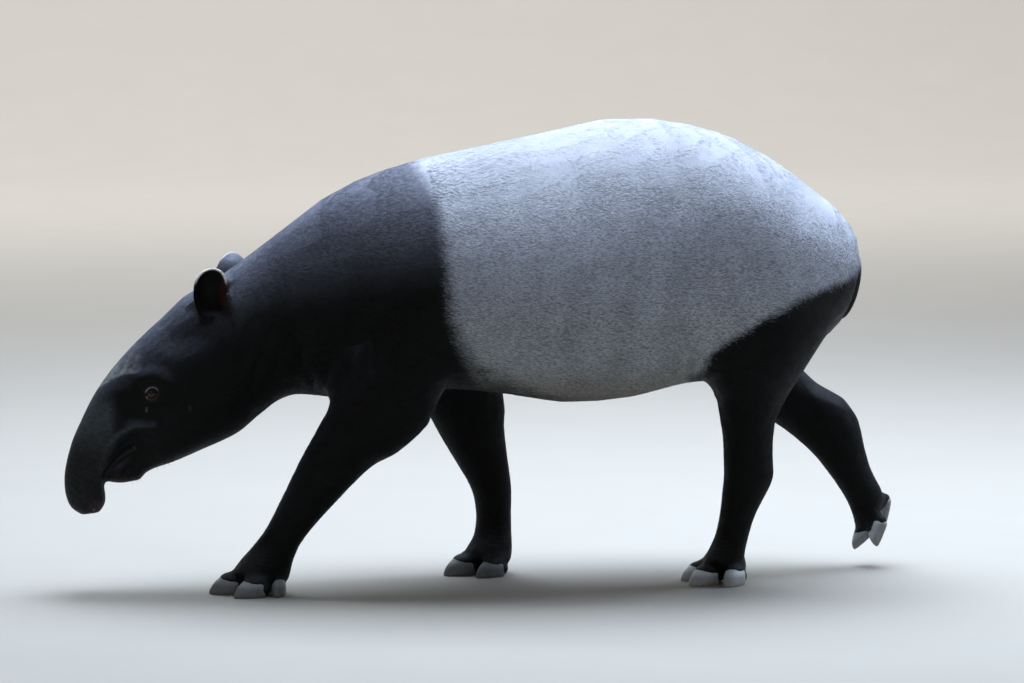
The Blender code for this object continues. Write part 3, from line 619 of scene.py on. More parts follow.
def tint_of(co, normals, marks):
    """The dark coat's colour at each point, bare where it is thin, with painted light and shade: a painted
    bluish sheen where faces turn up, and painted shade where they turn down.
    """
    x, _, z = co.T
    up = normals[:, 2]
    _, rim, cup = ear_masks(co, normals)
    flat = co[:, [0, 2]]
    fold, lip, mouth = (line_distance(flat, line) for line in (UPPER_LIP_FOLD, LOWER_LIP, MOUTH_LINE))
    red, pad = (np.linalg.norm(flat - np.array(middle), axis=1) for middle in (LIP_RED, NOSE_PAD))
    # Painted light: the share of a bluish sheen painted on faces that turn up, less on the legs and the lower
    # trunk behind the chest.
    upper = smooth(up, 0.05, 0.85) * smooth(z, 0.12, 0.30)
    upper *= 1 - 0.7 * smooth(x, -0.52, -0.44) * fall(z, 0.42, 0.62)
    snout = 0.75 * smooth(-x, 0.862, 0.89) * smooth(z, 0.31, 0.40) * fall(z, 0.42, 0.49)
    layers = [  # colour, share of it, from the lowest to the uppermost
        # painted bluish sheen on faces that turn up
        (marks.painted_sky_sheen, 0.55 * upper + 0.40 * smooth(up, 0.45, 0.95) * smooth(z, 0.5, 0.8)),
        ((0.020, 0.021, 0.021), 0.75 * smooth(-x, 0.855, 0.90) * fall(z, 0.38, 0.46)),
        ((0.058, 0.067, 0.074), snout),
        # painted shade: near black on faces that turn down, behind the face
        ((0.0018, 0.0018, 0.0018), smooth(-up, -0.1, 0.45) * smooth(x, -0.80, -0.70)),
        # painted light: bluish pale on the upper faces of the feet, just above the hooves
        ((0.060, 0.066, 0.074), 0.5 * smooth(up, -0.2, 0.5) * fall(z, 0.08, 0.13)),
        # painted highlight: pale grey on the top of the upper lip's fold, where light falls from above
        ((0.095, 0.108, 0.118), 0.55 * bell(fold, 0.013) * smooth(up, -0.3, 0.5)),
        ((0.030, 0.013, 0.010), 0.6 * fall(red, 0.004, 0.016)),
        # painted highlight: a paler line along the raised edge of the lower lip
        ((0.034, 0.031, 0.026), 0.8 * fall(lip, 0.0008, 0.0034)),
        # painted shade: near black in the crease between the lips
        ((0.002, 0.0015, 0.0015), fall(mouth, 0.0010, 0.0038)),
        ((0.050, 0.031, 0.037), 0.80 * fall(pad, 0.008, 0.024) * smooth(x, -0.945, -0.925)),
    ]
    # pale flecks of the face, and painted highlights at the mouth's corner and the nostril
    for middle, wide, high, strength in FLECKS_AND_GLINTS:
        off = np.hypot((x - middle[0]) / wide, (z - middle[1]) / high)
        layers.append(((0.160, 0.155, 0.165), strength * fall(off, 0.3, 1.1)))
    layers += [
        ((0.0035, 0.0022, 0.0022), 0.95 * cup),
        ((0.045, 0.014, 0.012), 0.7 * reddened(co) * cup),
        (marks.rim, rim),
    ]
    tint = np.tile(np.array(marks.dark), (len(co), 1))
    for colour, share in layers:
        tint = tint * (1 - share[:, None]) + np.array(colour) * share[:, None]
    return tint


def coat_lengths(co, normals, coat):
    """(length of a tuft, how thickly they stand) at each point of the hide."""
    x, y, z = co.T
    on_ear, _, cup = ear_masks(co, normals)
    face = smooth(-x, 0.56, 0.70)
    tail = smooth(x, 0.80, 0.84) * fall(np.abs(y), 0.03, 0.06) * smooth(z, 0.50, 0.60)
    length = coat.tuft_length * (1 - 0.50 * face) * (1 - 0.25 * face * smooth(-x, 0.84, 0.92))
    length = length * (1 - 0.50 * fall(z, 0.16, 0.44)) * (1 - 0.35 * fall(z, 0.05, 0.10))
    length = length * (1 + 0.45 * bell(saddle_depth(co), 0.018)) * (1 - 0.55 * on_ear)
    length *= 1 - 0.5 * tail
    under_foot = smooth(-normals[:, 2], 0.5, 0.9) * fall(z, 0.03, 0.05)
    thick = smooth(z, 0.006, 0.012) * (1 - 0.75 * cup) * (1 - under_foot)
    thick *= smooth(np.linalg.norm(co - np.array(SNOUT_TIP), axis=1), 0.020, 0.034)
    thick *= smooth(line_distance(co[:, [0, 2]], MOUTH_LINE), 0.004, 0.008)
    for name in EYES:
        thick *= smooth(np.linalg.norm(in_frame(co, eye_frame(name)), axis=1), 0.019, 0.026)
    return length, thick


REGIONS = ("head", "neck", "flank_left", "flank_right", "forelegs", "hindlegs")


def region_of(co):
    """The number of the coat piece that each point of the hide belongs to."""
    x, y, z = co.T
    region = np.where(y < 0, 2, 3)
    region[x < -0.215] = 1
    region[x < -0.545] = 0
    region[(z < 0.455) & (x < 0.16) & ((x > -0.50) | (z < 0.19))] = 4
    region[(z < 0.455) & (x >= 0.16)] = 5
    return region


def mark_hide(mesh, marks, coat):
    """Keeps on the hide what its own colours and its tufts need."""
    co, normals = places(mesh), normals_of(mesh)
    length, thick = coat_lengths(co, normals, coat)
    lie = lie_of_the_coat(co, normals)
    down = np.clip(np.abs(lie[:, 2]) * 1.3 - 0.3, 0, 1)
    crisp = 1 + 0.7 * smooth(co[:, 0], 0.10, 0.30)  # the border is sharper on the thigh than on the shoulder
    for name, values in (
        ("saddle", crisp * saddle_depth(co)),
        ("nose_highlight", nose_highlight(co)),
        # relief: 1.25 on faces that turn sideways or down, less on those that turn up; it scales the clumps'
        # bump, their painted shade and the tufts' lift
        ("relief", 1.25 - 1.05 * smooth(normals[:, 2], 0.30, 0.80)),
        ("tuft_length", length),
        ("thick", thick),
        ("runs_along", 1 - down),
        ("runs_down", down),
    ):
        store(mesh, name, values)
    store(mesh, "tint", np.column_stack([tint_of(co, normals, marks), np.ones(len(co))]), "FLOAT_COLOR")
    store(mesh, "lie", lie, "FLOAT_VECTOR")
    store(mesh, "region", region_of(co), "INT")


# ---------------------------------------------------------------- materials
class Graph:
    """A node tree, with short ways to add and join its nodes."""

    def node(self, kind, inputs=None, **settings):
        made = self.tree.nodes.new(kind)
        for name, value in settings.items():
            setattr(made, name, value)
        for key, value in (inputs or {}).items():
            self.feed(made.inputs[key], value)
        return made

    def feed(self, socket, value):
        """Joins a socket to another one, or sets its value."""
        if isinstance(value, bpy.types.NodeSocket):
            self.tree.links.new(value, socket)
        elif value is not None:
            socket.default_value = value

    def math(self, operation, *values):
        return self.node("ShaderNodeMath", dict(enumerate(values)), operation=operation).outputs[0]

    def times(self, one, two):
        return self.math("MULTIPLY", one, two)


class Sheet(Graph):
    """A material, drawn in the object's own coordinates."""

    def __init__(self, name):
        self.material = bpy.data.materials.new(name)
        self.material.use_nodes = True
        self.tree = self.material.node_tree
        self.shader = self.tree.nodes["Principled BSDF"]
        self.place = self.node("ShaderNodeTexCoord").outputs["Object"]

    def attribute(self, name, field="Fac"):
        return self.node("ShaderNodeAttribute", attribute_name=name).outputs[field]

    def noise(self, scale, detail=3.0, rough=0.55, vector=None):
        inputs = {"Vector": vector or self.place, "Scale": scale, "Detail": detail, "Roughness": rough}
        return self.node("ShaderNodeTexNoise", inputs).outputs["Fac"]

    def grain(self, scales, detail, rough, vector=None):
        """A noise drawn out unevenly along the three axes."""
        drawn_out = self.node("ShaderNodeMapping", {"Vector": vector or self.place, "Scale": scales})
        return self.noise(1.0, detail, rough, drawn_out.outputs["Vector"])

    def swing(self, value, reach):
        """A number from 0 to 1, turned to one that swings about 0."""
        return self.times(self.math("SUBTRACT", value, 0.5), reach)

    def ramp(self, value, low, high, to_low=0.0, to_high=1.0):
        inputs = {"Value": value, "From Min": low, "From Max": high, "To Min": to_low, "To Max": to_high}
        return self.node("ShaderNodeMapRange", inputs, interpolation_type="SMOOTHSTEP").outputs["Result"]

    def mix(self, share, one, two, blend="MIX"):
        one, two = (c if isinstance(c, bpy.types.NodeSocket) else (*c, 1) for c in (one, two))
        inputs = {0: share, 6: one, 7: two}
        return self.node("ShaderNodeMix", inputs, data_type="RGBA", blend_type=blend).outputs[2]

    def shaded(self, colour, value):
        """A colour made darker or lighter by a number."""
        grey = self.node("ShaderNodeCombineColor", {0: value, 1: value, 2: value}).outputs[0]
        return self.mix(1.0, colour, grey, "MULTIPLY")

    def bump(self, height, distance, strength, over=None):
        inputs = {"Height": height, "Normal": over, "Distance": distance, "Strength": strength}
        return self.node("ShaderNodeBump", inputs).outputs["Normal"]

    def finish(self, colour, roughness, normal=None, **fixed):
        for name, value in (("Base Color", colour), ("Roughness", roughness), ("Normal", normal)):
            self.feed(self.shader.inputs[name], value)
        for name, value in fixed.items():
            self.shader.inputs[name.replace("_", " ")].default_value = value
        return self.material


def coat_colour(sheet, marks, place, stray):
    """The coat's colour on hide and tufts alike: dark fore and aft, with a pale saddle between."""
    soft = marks.border_softness
    wander = sheet.swing(sheet.noise(24, 3, 0.6, place), 2.4 * marks.border_wander)
    spikes = sheet.swing(sheet.grain((90, 340, 340), 2, 0.6, place), 1.7 * soft)
    fray = sheet.math("ADD", sheet.swing(stray, 1.2 * soft), spikes)
    depth = sheet.math("ADD", sheet.attribute("saddle"), sheet.math("ADD", wander, fray))
    # Painted light and shade: the pale coat painted bluish and lightest at the top of the back, where the
    # overhead light falls, darker lower down, and darker and warmer under the belly.
    height = sheet.node("ShaderNodeSeparateXYZ", {0: place}).outputs["Z"]
    pale = sheet.mix(sheet.ramp(height, 0.42, 0.86), marks.saddle_shaded_low, marks.saddle)
    pale = sheet.mix(sheet.ramp(height, 0.43, 0.55, 1.0, 0.0), pale, marks.belly)
    clouds = sheet.ramp(sheet.noise(6, 3, 0.6, place), 0.3, 0.7, 0.88, 1.08)
    # Painted shade: dark dashes between the clumps of hair, fainter on faces that turn up
    grains = sheet.ramp(sheet.grain((130, 220, 460), 2, 0.6, place), 0.36, 0.60, -0.34, 0.12)
    pebbles = sheet.math("MULTIPLY_ADD", grains, sheet.attribute("relief"), 1.0)
    pale = sheet.shaded(pale, sheet.times(clouds, pebbles))
    streaks = sheet.ramp(sheet.grain((90, 160, 160), 3, 0.6, place), 0.3, 0.7, 0.75, 1.22)
    dark = sheet.shaded(sheet.attribute("tint", "Color"), streaks)
    # painted highlight on the bridge of the nose, broken up by noise
    flecked = sheet.ramp(sheet.noise(60, 4, 0.65, place), 0.36, 0.62, 0.25, 1.0)
    dark = sheet.mix(sheet.times(sheet.attribute("nose_highlight"), flecked), dark, marks.nose_highlight_grey)
    return sheet.mix(sheet.ramp(depth, -soft, soft), dark, pale)


def coat_finish(sheet, marks, colour, rough, normal):
    """The faint blue sheen of the coat, on hide and tufts alike."""
    sheen = {"Sheen_Weight": marks.sheen, "Sheen_Roughness": 0.35, "Sheen_Tint": (0.55, 0.70, 1.0, 1)}
    return sheet.finish(colour, rough, normal, Specular_IOR_Level=0.11, **sheen)


def hide_material(marks):
    """Hairs and clumps of hair that lie along the coat, as bump."""
    sheet = Sheet("short flat coat over hide")
    colour = coat_colour(sheet, marks, sheet.place, sheet.noise(420, 2, 0.7))
    along = sheet.times(sheet.grain((130, 280, 340), 4, 0.65), sheet.attribute("runs_along"))
    down = sheet.times(sheet.grain((300, 300, 130), 4, 0.65), sheet.attribute("runs_down"))
    clumps = sheet.times(sheet.math("ADD", along, down), sheet.attribute("relief"))
    normal = sheet.bump(sheet.noise(900, 2, 0.7), 0.0004, 0.6, sheet.bump(clumps, 0.0020, 0.9))
    return coat_finish(sheet, marks, colour, sheet.ramp(sheet.noise(40), 0.3, 0.7, 0.50, 0.64), normal)


def tuft_material(marks):
    """The hide's colour at each tuft's root, and a normal that leans towards the hide's own."""
    sheet = Sheet("coat hair")
    chance = sheet.attribute("tuft_chance")
    colour = coat_colour(sheet, marks, sheet.attribute("root_place", "Vector"), chance)
    shade = sheet.ramp(sheet.math("FRACT", sheet.times(chance, 7.31)), 0.0, 1.0, 0.90, 1.10)
    along = sheet.ramp(sheet.attribute("tuft_along"), 0.0, 1.0, 0.88, 1.06)
    lean = {
        0: sheet.ramp(sheet.attribute("relief"), 0.2, 1.2, 0.85, 0.45),
        4: sheet.node("ShaderNodeNewGeometry").outputs["Normal"],
        5: sheet.attribute("root_normal", "Vector"),
    }
    leaning = sheet.node("ShaderNodeMix", lean, data_type="VECTOR").outputs[1]
    normal = sheet.node("ShaderNodeVectorMath", {0: leaning}, operation="NORMALIZE").outputs[0]
    return coat_finish(sheet, marks, sheet.shaded(colour, sheet.times(shade, along)), 0.56, normal)


# ---------------------------------------------------------------- the coat
def tuft_mesh():
    """A lock of hair one unit long: three-sided, bowed, and pointed at both the root and the tip."""
    bm = bmesh.new()
    root = bm.verts.new((0.0, 0.0, -0.06))
    belly = [bm.verts.new(co) for co in ((0.38, -0.5, 0.02), (0.38, 0.5, 0.02), (0.46, 0.0, 0.22))]
    tip = bm.verts.new((1.0, 0.0, 0.0))
    for one, two in zip(belly, belly[1:] + belly[:1]):
        bm.faces.new((root, two, one))
        bm.faces.new((tip, one, two))
    bmesh.ops.recalc_face_normals(bm, faces=bm.faces)
    mesh = mesh_of(bm, "tuft")
    store(mesh, "tuft_along", places(mesh)[:, 0])
    store(mesh, "tuft_across", places(mesh)[:, 1])
    mesh.shade_smooth()
    return mesh


class Tree(Graph):
    """A geometry node tree with named inputs."""

    def __init__(self, name, inputs):
        self.tree = bpy.data.node_groups.new(name, "GeometryNodeTree")
        sockets = self.tree.interface
        sockets.new_socket("Geometry", in_out="INPUT", socket_type="NodeSocketGeometry")
        for label, kind, default in inputs:
            socket = sockets.new_socket(label, in_out="INPUT", socket_type="NodeSocket" + kind)
            if default is not None:
                socket.default_value = default
        sockets.new_socket("Geometry", in_out="OUTPUT", socket_type="NodeSocketGeometry")
        self.given = self.node("NodeGroupInput").outputs

    def named(self, name, kind="FLOAT"):
        made = self.node("GeometryNodeInputNamedAttribute", {"Name": name}, data_type=kind)
        return made.outputs["Attribute"]

    def chance(self, low, high, step):
        """A random number for each point."""
        inputs = {2: low, 3: high, "Seed": self.math("ADD", self.given["Seed"], step)}
        return self.node("FunctionNodeRandomValue", inputs, data_type="FLOAT").outputs[1]

    def vector(self, *values):
        return self.node("ShaderNodeCombineXYZ", dict(enumerate(values))).outputs[0]

    def keep(self, geometry, name, value, kind="FLOAT"):
        """Stores a value for each point."""
        inputs = {"Geometry": geometry, "Name": name, "Value": value}
        return self.node("GeometryNodeStoreNamedAttribute", inputs, data_type=kind).outputs[0]


def coat_tree():
    """Stands tufts on one region of the hide, laid over along its attribute 'lie'."""
    inputs = (
        ("Tuft", "Object", None),
        ("Material", "Material", None),
        ("Region", "Int", 0),
        ("Tufts per square metre", "Float", 20000.0),
        ("Spacing", "Float", 0.004),
        ("Width", "Float", 0.14),
        ("Lift", "Float", 0.12),
        ("Seed", "Int", 7),
    )
    work = Tree("Flat coat", inputs)
    given, times = work.given, work.times
    here = {2: work.named("region", "INT"), 3: given["Region"]}
    here = work.node("FunctionNodeCompare", here, data_type="INT", operation="EQUAL").outputs["Result"]
    scatter = {
        "Mesh": given["Geometry"],
        "Distance Min": given["Spacing"],
        "Density Max": given["Tufts per square metre"],
        "Density Factor": times(work.named("thick"), here),
        "Seed": given["Seed"],
    }
    scatter = work.node("GeometryNodeDistributePointsOnFaces", scatter, distribute_method="POISSON").outputs
    root = work.node("GeometryNodeInputPosition").outputs[0]
    points = work.keep(scatter["Points"], "root_place", root, "FLOAT_VECTOR")
    points = work.keep(points, "root_normal", scatter["Normal"], "FLOAT_VECTOR")
    points = work.keep(points, "tuft_chance", work.chance(0.0, 1.0, 1))
    axes = {0: scatter["Normal"], 1: work.named("lie", "FLOAT_VECTOR")}
    upright = work.node("FunctionNodeAxesToRotation", axes, primary_axis="Z", secondary_axis="X")
    flatness = work.math("MINIMUM", work.named("relief"), 1.0)
    lift = times(times(given["Lift"], flatness), work.chance(-1.6, -0.2, 2))
    turn = work.node("FunctionNodeEulerToRotation", {0: work.vector(0.0, lift, work.chance(-0.42, 0.42, 3))})
    laid = {0: upright.outputs[0], 1: turn.outputs[0]}
    laid = work.node("FunctionNodeRotateRotation", laid, rotation_space="LOCAL").outputs[0]
    length = times(work.named("tuft_length"), work.chance(0.75, 1.30, 4))
    width = times(times(length, given["Width"]), work.chance(0.8, 1.3, 5))
    spread = {
        "Points": points,
        "Instance": work.node("GeometryNodeObjectInfo", {"Object": given["Tuft"]}).outputs["Geometry"],
        "Rotation": laid,
        "Scale": work.vector(length, width, times(width, flatness)),
    }
    spread = work.node("GeometryNodeInstanceOnPoints", spread).outputs[0]
    real = work.node("GeometryNodeRealizeInstances", {0: spread}).outputs[0]
    paint = work.node("GeometryNodeSetMaterial", {"Geometry": real, "Material": given["Material"]})
    work.node("NodeGroupOutput", {0: paint.outputs[0]})
    return work.tree


def grow(name, source, tree, **inputs):
    """A plain mesh of what a tree makes on a source object."""
    thing = add_object(name, source.data)
    modifier = thing.modifiers.new("grow", "NODES")
    modifier.node_group = tree
    sockets = {item.name: item.identifier for item in tree.interface.items_tree if item.in_out == "INPUT"}
    for label, value in inputs.items():
        modifier[sockets[label.replace("_", " ")]] = value
    made = made_of(thing)
    thing.modifiers.clear()
    thing.data = made
    made.name = name
    return thing


PATCH = 0.003  # how wide a tuft is on the unwrap


def unwrap(place, normal):
    """Six flat views of the hide under a coat piece, side by side in the unit square."""
    facing = np.argmax(np.abs(normal), 1)
    cell = 2 * facing + (normal[np.arange(len(normal)), facing] > 0)
    low = place.min(0)
    size = (place.max(0) - low).max()
    share = (place - low) / size
    pairs = np.array(((1, 2), (0, 2), (0, 1)))[facing]
    rows = np.arange(len(place))
    u, v = share[rows, pairs[:, 0]], share[rows, pairs[:, 1]]
    return np.column_stack([(0.02 + 0.94 * u + cell % 3) / 3, (0.02 + 0.94 * v + cell // 3) / 2])


def map_tufts(mesh):
    """OFBake: each tuft is a small patch at its root's place on an unwrap of the hide."""
    root, normal = (read(mesh.attributes[name].data, "vector") for name in ("root_place", "root_normal"))
    patch = np.column_stack([stored(mesh, "tuft_along") - 0.5, stored(mesh, "tuft_across")])
    flat = np.clip(unwrap(root, normal) + PATCH * patch, 0, 1)
    corners = read(mesh.loops, "vertex_index", 1, np.int32)[:, 0]
    for layer in list(mesh.uv_layers):
        mesh.uv_layers.remove(layer)
    mesh.uv_layers.new(name="OFBake").data.foreach_set("uv", flat[corners].astype(np.float32).ravel())
    for name in ("lie", "tuft_length", "thick", "region", "tuft_across", "runs_along", "runs_down"):
        mesh.attributes.remove(mesh.attributes[name])


# ---------------------------------------------------------------- lids
LID_RELIEF = (  # share of the way out from the slit, half width, height: the margin, then two soft folds
    (0.04, 0.05, 0.0016),
    (0.17, 0.05, -0.0012),
    (0.33, 0.09, 0.0015),
    (0.52, 0.07, -0.0007),
    (0.70, 0.12, 0.0005),
)
LID_SHARES = (
    0.0, 0.02, 0.05, 0.09, 0.13, 0.17, 0.21, 0.26, 0.32, 0.38, 0.45, 0.52, 0.60, 0.70, 0.80, 0.90, 1.0,
)
LID_RIM = (0.0275, 0.0225)  # half length and half height of the lids' outer edge
CARUNCLE = (0.0152, 0.0042, 0.0026, 0.0028)  # where it lies along the slit, and its three radii
AROUND_EYE = 72
UPWARDS = math.radians(-130)  # the way up, as an angle round the eye from the nose's side
EYE_RADIUS = 0.0140


def slit_point(angle, eyes):
    """The opening between the lids: round behind, and drawn out to a corner towards the nose."""
    c, s = math.cos(angle), math.sin(angle)
    long = eyes.slit_length * (0.62 if c > 0 else 0.42)
    return Vector((long * c, eyes.slit_height / 2 * s * (1 - 0.55 * max(c, 0) ** 2)))


def ball_height(reach):
    """How far the eyeball stands out at a distance from its axis."""
    return math.sqrt(max(EYE_RADIUS**2 - min(reach, 0.98 * EYE_RADIUS) ** 2, 0))


def lids_mesh(name, hide_tree, eyes):
    """Upper and lower lid in one ring, from the slit's edge to the hide, with the eye's fleshy corner."""
    matrix = eye_frame(name)
    away = matrix.to_3x3() @ Vector((0, -1, 0))
    angles = [math.tau * i / AROUND_EYE for i in range(AROUND_EYE)]
    slit = [slit_point(a, eyes) for a in angles]
    rim = [Vector((LID_RIM[0] * math.cos(a) + 0.003, LID_RIM[1] * math.sin(a))) for a in angles]
    levels = []
    for spot in rim:
        hit = hide_tree.ray_cast(matrix @ Vector((spot.x, -0.06, spot.y)), -away)[0]
        levels.append(-(matrix.inverted() @ hit).y if hit else 0.008)
    bm = bmesh.new()
    shares, turns = [], []

    def ring(share, sink=0.0, widen=1.0):
        made = []
        for angle, edge, outer, level in zip(angles, slit, rim, levels):
            flat = edge.lerp(outer, share) * widen
            margin = max(ball_height(edge.length) + 0.0010, level - 0.0035)
            ease = float(smooth(share, 0.0, 0.8))
            height = margin * (1 - ease) + level * ease
            height = max(height, ball_height(flat.length) + 0.0009 if flat.length < EYE_RADIUS else -1)
            open_side = 0.5 + 0.5 * abs(math.cos(angle - UPWARDS))
            for at, wide, rise in LID_RELIEF:
                deep = 1.0 if at < 0.1 else open_side**4 if at > 0.4 else open_side**2
                height += deep * rise * math.exp(-(((share - at) / wide) ** 2))
            height -= 0.0024 * float(smooth(share, 0.85, 1.0)) + sink
            made.append(bm.verts.new(matrix @ Vector((flat.x, -height, flat.y))))
            shares.append(share)
            turns.append(angle)
        return made

    rings = [ring(share) for share in LID_SHARES]
    rings += [ring(1.0, sink=0.0045), ring(0.0, sink=0.0034, widen=1.08)]
    for one, two in zip(rings, rings[1:] + rings[:1]):
        for i in range(AROUND_EYE):
            j = (i + 1) % AROUND_EYE
            bm.faces.new((one[i], one[j], two[j], two[i]))
    along, *radii = CARUNCLE
    corner = matrix @ Matrix.Translation((along, -max(levels[0] - 0.0050, 0.003), 0))
    corner = corner @ Matrix.Diagonal((*radii, 1))
    flesh = bmesh.ops.create_icosphere(bm, subdivisions=3, radius=1, matrix=corner)["verts"]
    shares += [-1.0] * len(flesh)
    turns += [0.0] * len(flesh)
    bmesh.ops.recalc_face_normals(bm, faces=bm.faces)
    mesh = mesh_of(bm, "lids_" + name[4:])
    store(mesh, "lid_share", shares)
    store(mesh, "upper", np.cos(np.array(turns) - UPWARDS))
    store(mesh, "noseward", np.cos(turns))
    mesh.shade_smooth()
    return mesh


def lid_material(marks):
    """Bare grey skin: painted violet light on the upper lid, brown on the lower one, and red towards the
    nose.
    """
    sheet = Sheet("bare skin of the lids")
    share, upper, noseward = (sheet.attribute(name) for name in ("lid_share", "upper", "noseward"))

    def band(at, wide, strength, where):
        """A ring round the eye, as strong as another number lets it be."""
        off = sheet.math("ABSOLUTE", sheet.math("SUBTRACT", share, at))
        return sheet.times(sheet.ramp(off, 0.3 * wide, wide, strength, 0.0), where)

    layers = (
        (band(0.30, 0.20, 0.5, sheet.ramp(sheet.noise(110, 3, 0.6), 0.35, 0.65)), (0.050, 0.052, 0.050)),
        (sheet.ramp(share, 0.30, 0.62), marks.dark),
        # painted light: a pale violet band on the upper lid, where the sky's light falls
        (band(0.15, 0.20, 1.0, sheet.ramp(upper, 0.25, 0.65)), (0.270, 0.245, 0.330)),
        (band(0.02, 0.09, 0.8, sheet.ramp(upper, -0.2, 0.3, 1.0, 0.0)), (0.060, 0.036, 0.034)),
        (band(0.06, 0.20, 1.0, sheet.ramp(noseward, 0.10, 0.60)), (0.120, 0.036, 0.018)),
        (sheet.ramp(share, -0.6, -0.4, 1.0, 0.0), (0.210, 0.130, 0.065)),
    )
    colour = sheet.mix(sheet.noise(160), (0.009, 0.009, 0.010), (0.026, 0.026, 0.029))
    for strength, paint in layers:
        colour = sheet.mix(strength, colour, paint)
    rough = sheet.ramp(share, 0.02, 0.25, 0.25, 0.62)
    return sheet.finish(colour, rough, sheet.bump(sheet.noise(420), 0.0006, 0.8), Specular_IOR_Level=0.18)


# ---------------------------------------------------------------- eyeballs
def eyeball_mesh(name):
    """A ball with a slightly raised cornea."""
    matrix = eye_frame(name)
    bm = bmesh.new()
    bmesh.ops.create_uvsphere(bm, u_segments=48, v_segments=32, radius=1.0)
    for vert in bm.verts:
        cornea = float(smooth(max(0.0, vert.co.z), 0.80, 1.0))
        spot = vert.co * ((EYE_RADIUS - 0.0002) * (1 + 0.045 * cornea))
        vert.co = matrix @ Vector((spot.x, -spot.z, spot.y))
    bmesh.ops.recalc_face_normals(bm, faces=bm.faces)
    mesh = mesh_of(bm, "eyeball_" + name[4:])
    x, y, z = in_frame(places(mesh), matrix).T
    store(mesh, "off_axis", np.degrees(np.arctan2(np.hypot(x, z), -y)))
    mesh.shade_smooth()
    return mesh


def eyeball_material(eyes):
    """Pupil, streaked iris, its dark edge and the reddish white, by degrees off the eye's axis."""
    sheet = Sheet("wet eye")
    off = sheet.attribute("off_axis")
    iris = sheet.mix(sheet.noise(900, 4, 0.7), eyes.iris, [0.45 * c for c in eyes.iris])
    colour = sheet.mix(sheet.ramp(off, 12.0, 16.0), (0.002, 0.002, 0.002), iris)
    colour = sheet.mix(sheet.ramp(off, 40.0, 48.0), colour, (0.012, 0.007, 0.005))
    colour = sheet.mix(sheet.ramp(off, 58.0, 70.0), colour, (0.045, 0.022, 0.016))
    return sheet.finish(colour, 0.16, Coat_Weight=0.25, Coat_Roughness=0.04, Specular_IOR_Level=0.15)


# ---------------------------------------------------------------- hooves
# Painted light and shade: how much lighter or darker each foot's hooves are painted, as the light falls on
# them.
HOOF_LIGHTING = {"foreleg_left": 0.88, "foreleg_right": 0.68, "hindleg_left": 2.1, "hindleg_right": 1.15}


def hoof_mesh(name):
    """A hoof with its solid's shape, rounder, with growth rings and a rim of soft horn at the top."""
    bm = node_mesh(name)
    sole = sole_of(bm)
    flat = level_with(bm, sole)
    up = -np.array(sole.normal)
    base = np.array(sole.calc_center_median())
    crease = bm.edges.layers.float.new("crease_edge")
    for edge in bm.edges:
        if sum(face in flat for face in edge.link_faces) == 1:
            edge[crease] = 0.85
        edge.smooth = True
    bmesh.ops.dissolve_faces(bm, faces=flat)
    thing = add_object(name + "_fine", mesh_of(bm, name))
    modify(thing, "SUBSURF", levels=3, render_levels=3)
    mesh = thing.data
    co, normals = places(mesh), normals_of(mesh)
    rise = (co - base) @ up
    share = rise / rise.max()
    rings = 0.00022 * np.sin(share * 42 + 1.5 * np.sin(co[:, 0] * 190)) * smooth(share, 0.05, 0.2)
    cuff = 0.0008 * bell(share - 0.88, 0.06)
    dome = 0.0030 * np.sin(np.pi * np.clip(share, 0, 1)) ** 0.7
    out = (rings + cuff + dome) * smooth(rise, 0.001, 0.004)
    set_places(mesh, co + normals * out[:, None])
    store(mesh, "hoof_rise", share)
    store(mesh, "hoof_lighting", np.full(len(co), HOOF_LIGHTING[name[5:-2]]))
    mesh.shade_smooth()
    return thing


def hoof_material(hooves):
    """Streaked horn, paler at the top and dusty below, with scuffs, and each foot's hooves lighter or darker
    by painted light and shade.
    """
    sheet = Sheet("worn horn")
    rise = sheet.attribute("hoof_rise")
    grain = sheet.grain((260, 260, 40), 4, 0.6)
    colour = sheet.mix(grain, hooves.horn, [0.45 * c for c in hooves.horn])
    colour = sheet.mix(sheet.ramp(rise, 0.40, 0.75, 0.0, 0.75), colour, (0.42, 0.46, 0.50))
    dust = sheet.times(sheet.ramp(rise, 0.0, 0.45, 0.85, 0.0), sheet.ramp(sheet.noise(90), 0.30, 0.60))
    colour = sheet.mix(dust, colour, (0.20, 0.165, 0.13))
    scuffs = sheet.ramp(sheet.grain((420, 420, 120), 3, 0.7), 0.58, 0.70, 0.0, 0.5)
    colour = sheet.mix(scuffs, colour, (0.24, 0.24, 0.235))
    # painted light and shade: each foot's hooves made lighter or darker
    colour = sheet.shaded(colour, sheet.attribute("hoof_lighting"))
    normal = sheet.bump(grain, 0.0008, 0.7, sheet.bump(sheet.noise(380), 0.0004, 0.6))
    return sheet.finish(colour, sheet.ramp(grain, 0.3, 0.7, 0.34, 0.55), normal, Specular_IOR_Level=0.45)


# ---------------------------------------------------------------- whiskers
WHISKER_BEDS = (  # (x, |y|, z), spread, how many, length
    ((-0.838, 0.040, 0.272), 0.030, 18, 0.010),
    ((-0.905, 0.034, 0.300), 0.026, 16, 0.008),
    ((-0.930, 0.030, 0.215), 0.024, 14, 0.006),
    ((-0.762, 0.040, 0.290), 0.030, 8, 0.010),
)


def whiskers_mesh(hide_tree):
    """Sparse stiff bristles on the lips and the chin."""
    chance = np.random.default_rng(11)
    bm = bmesh.new()
    for middle, spread, count, length in WHISKER_BEDS:
        for side in [side for side in (-1, 1) for _ in range(count)]:
            spot = Vector(middle) + Vector(chance.normal(0, spread / 2, 3))
            spot.y *= side
            root, normal, _, _ = hide_tree.find_nearest(spot)
            run = (normal + Vector((0.35, 0, -0.45)) + Vector(chance.normal(0, 0.18, 3))).normalized()
            size = length * chance.uniform(0.6, 1.2)
            add_bristle(bm, root, run, size)
    bmesh.ops.recalc_face_normals(bm, faces=bm.faces)
    mesh = mesh_of(bm, "whiskers")
    mesh.shade_smooth()
    return mesh


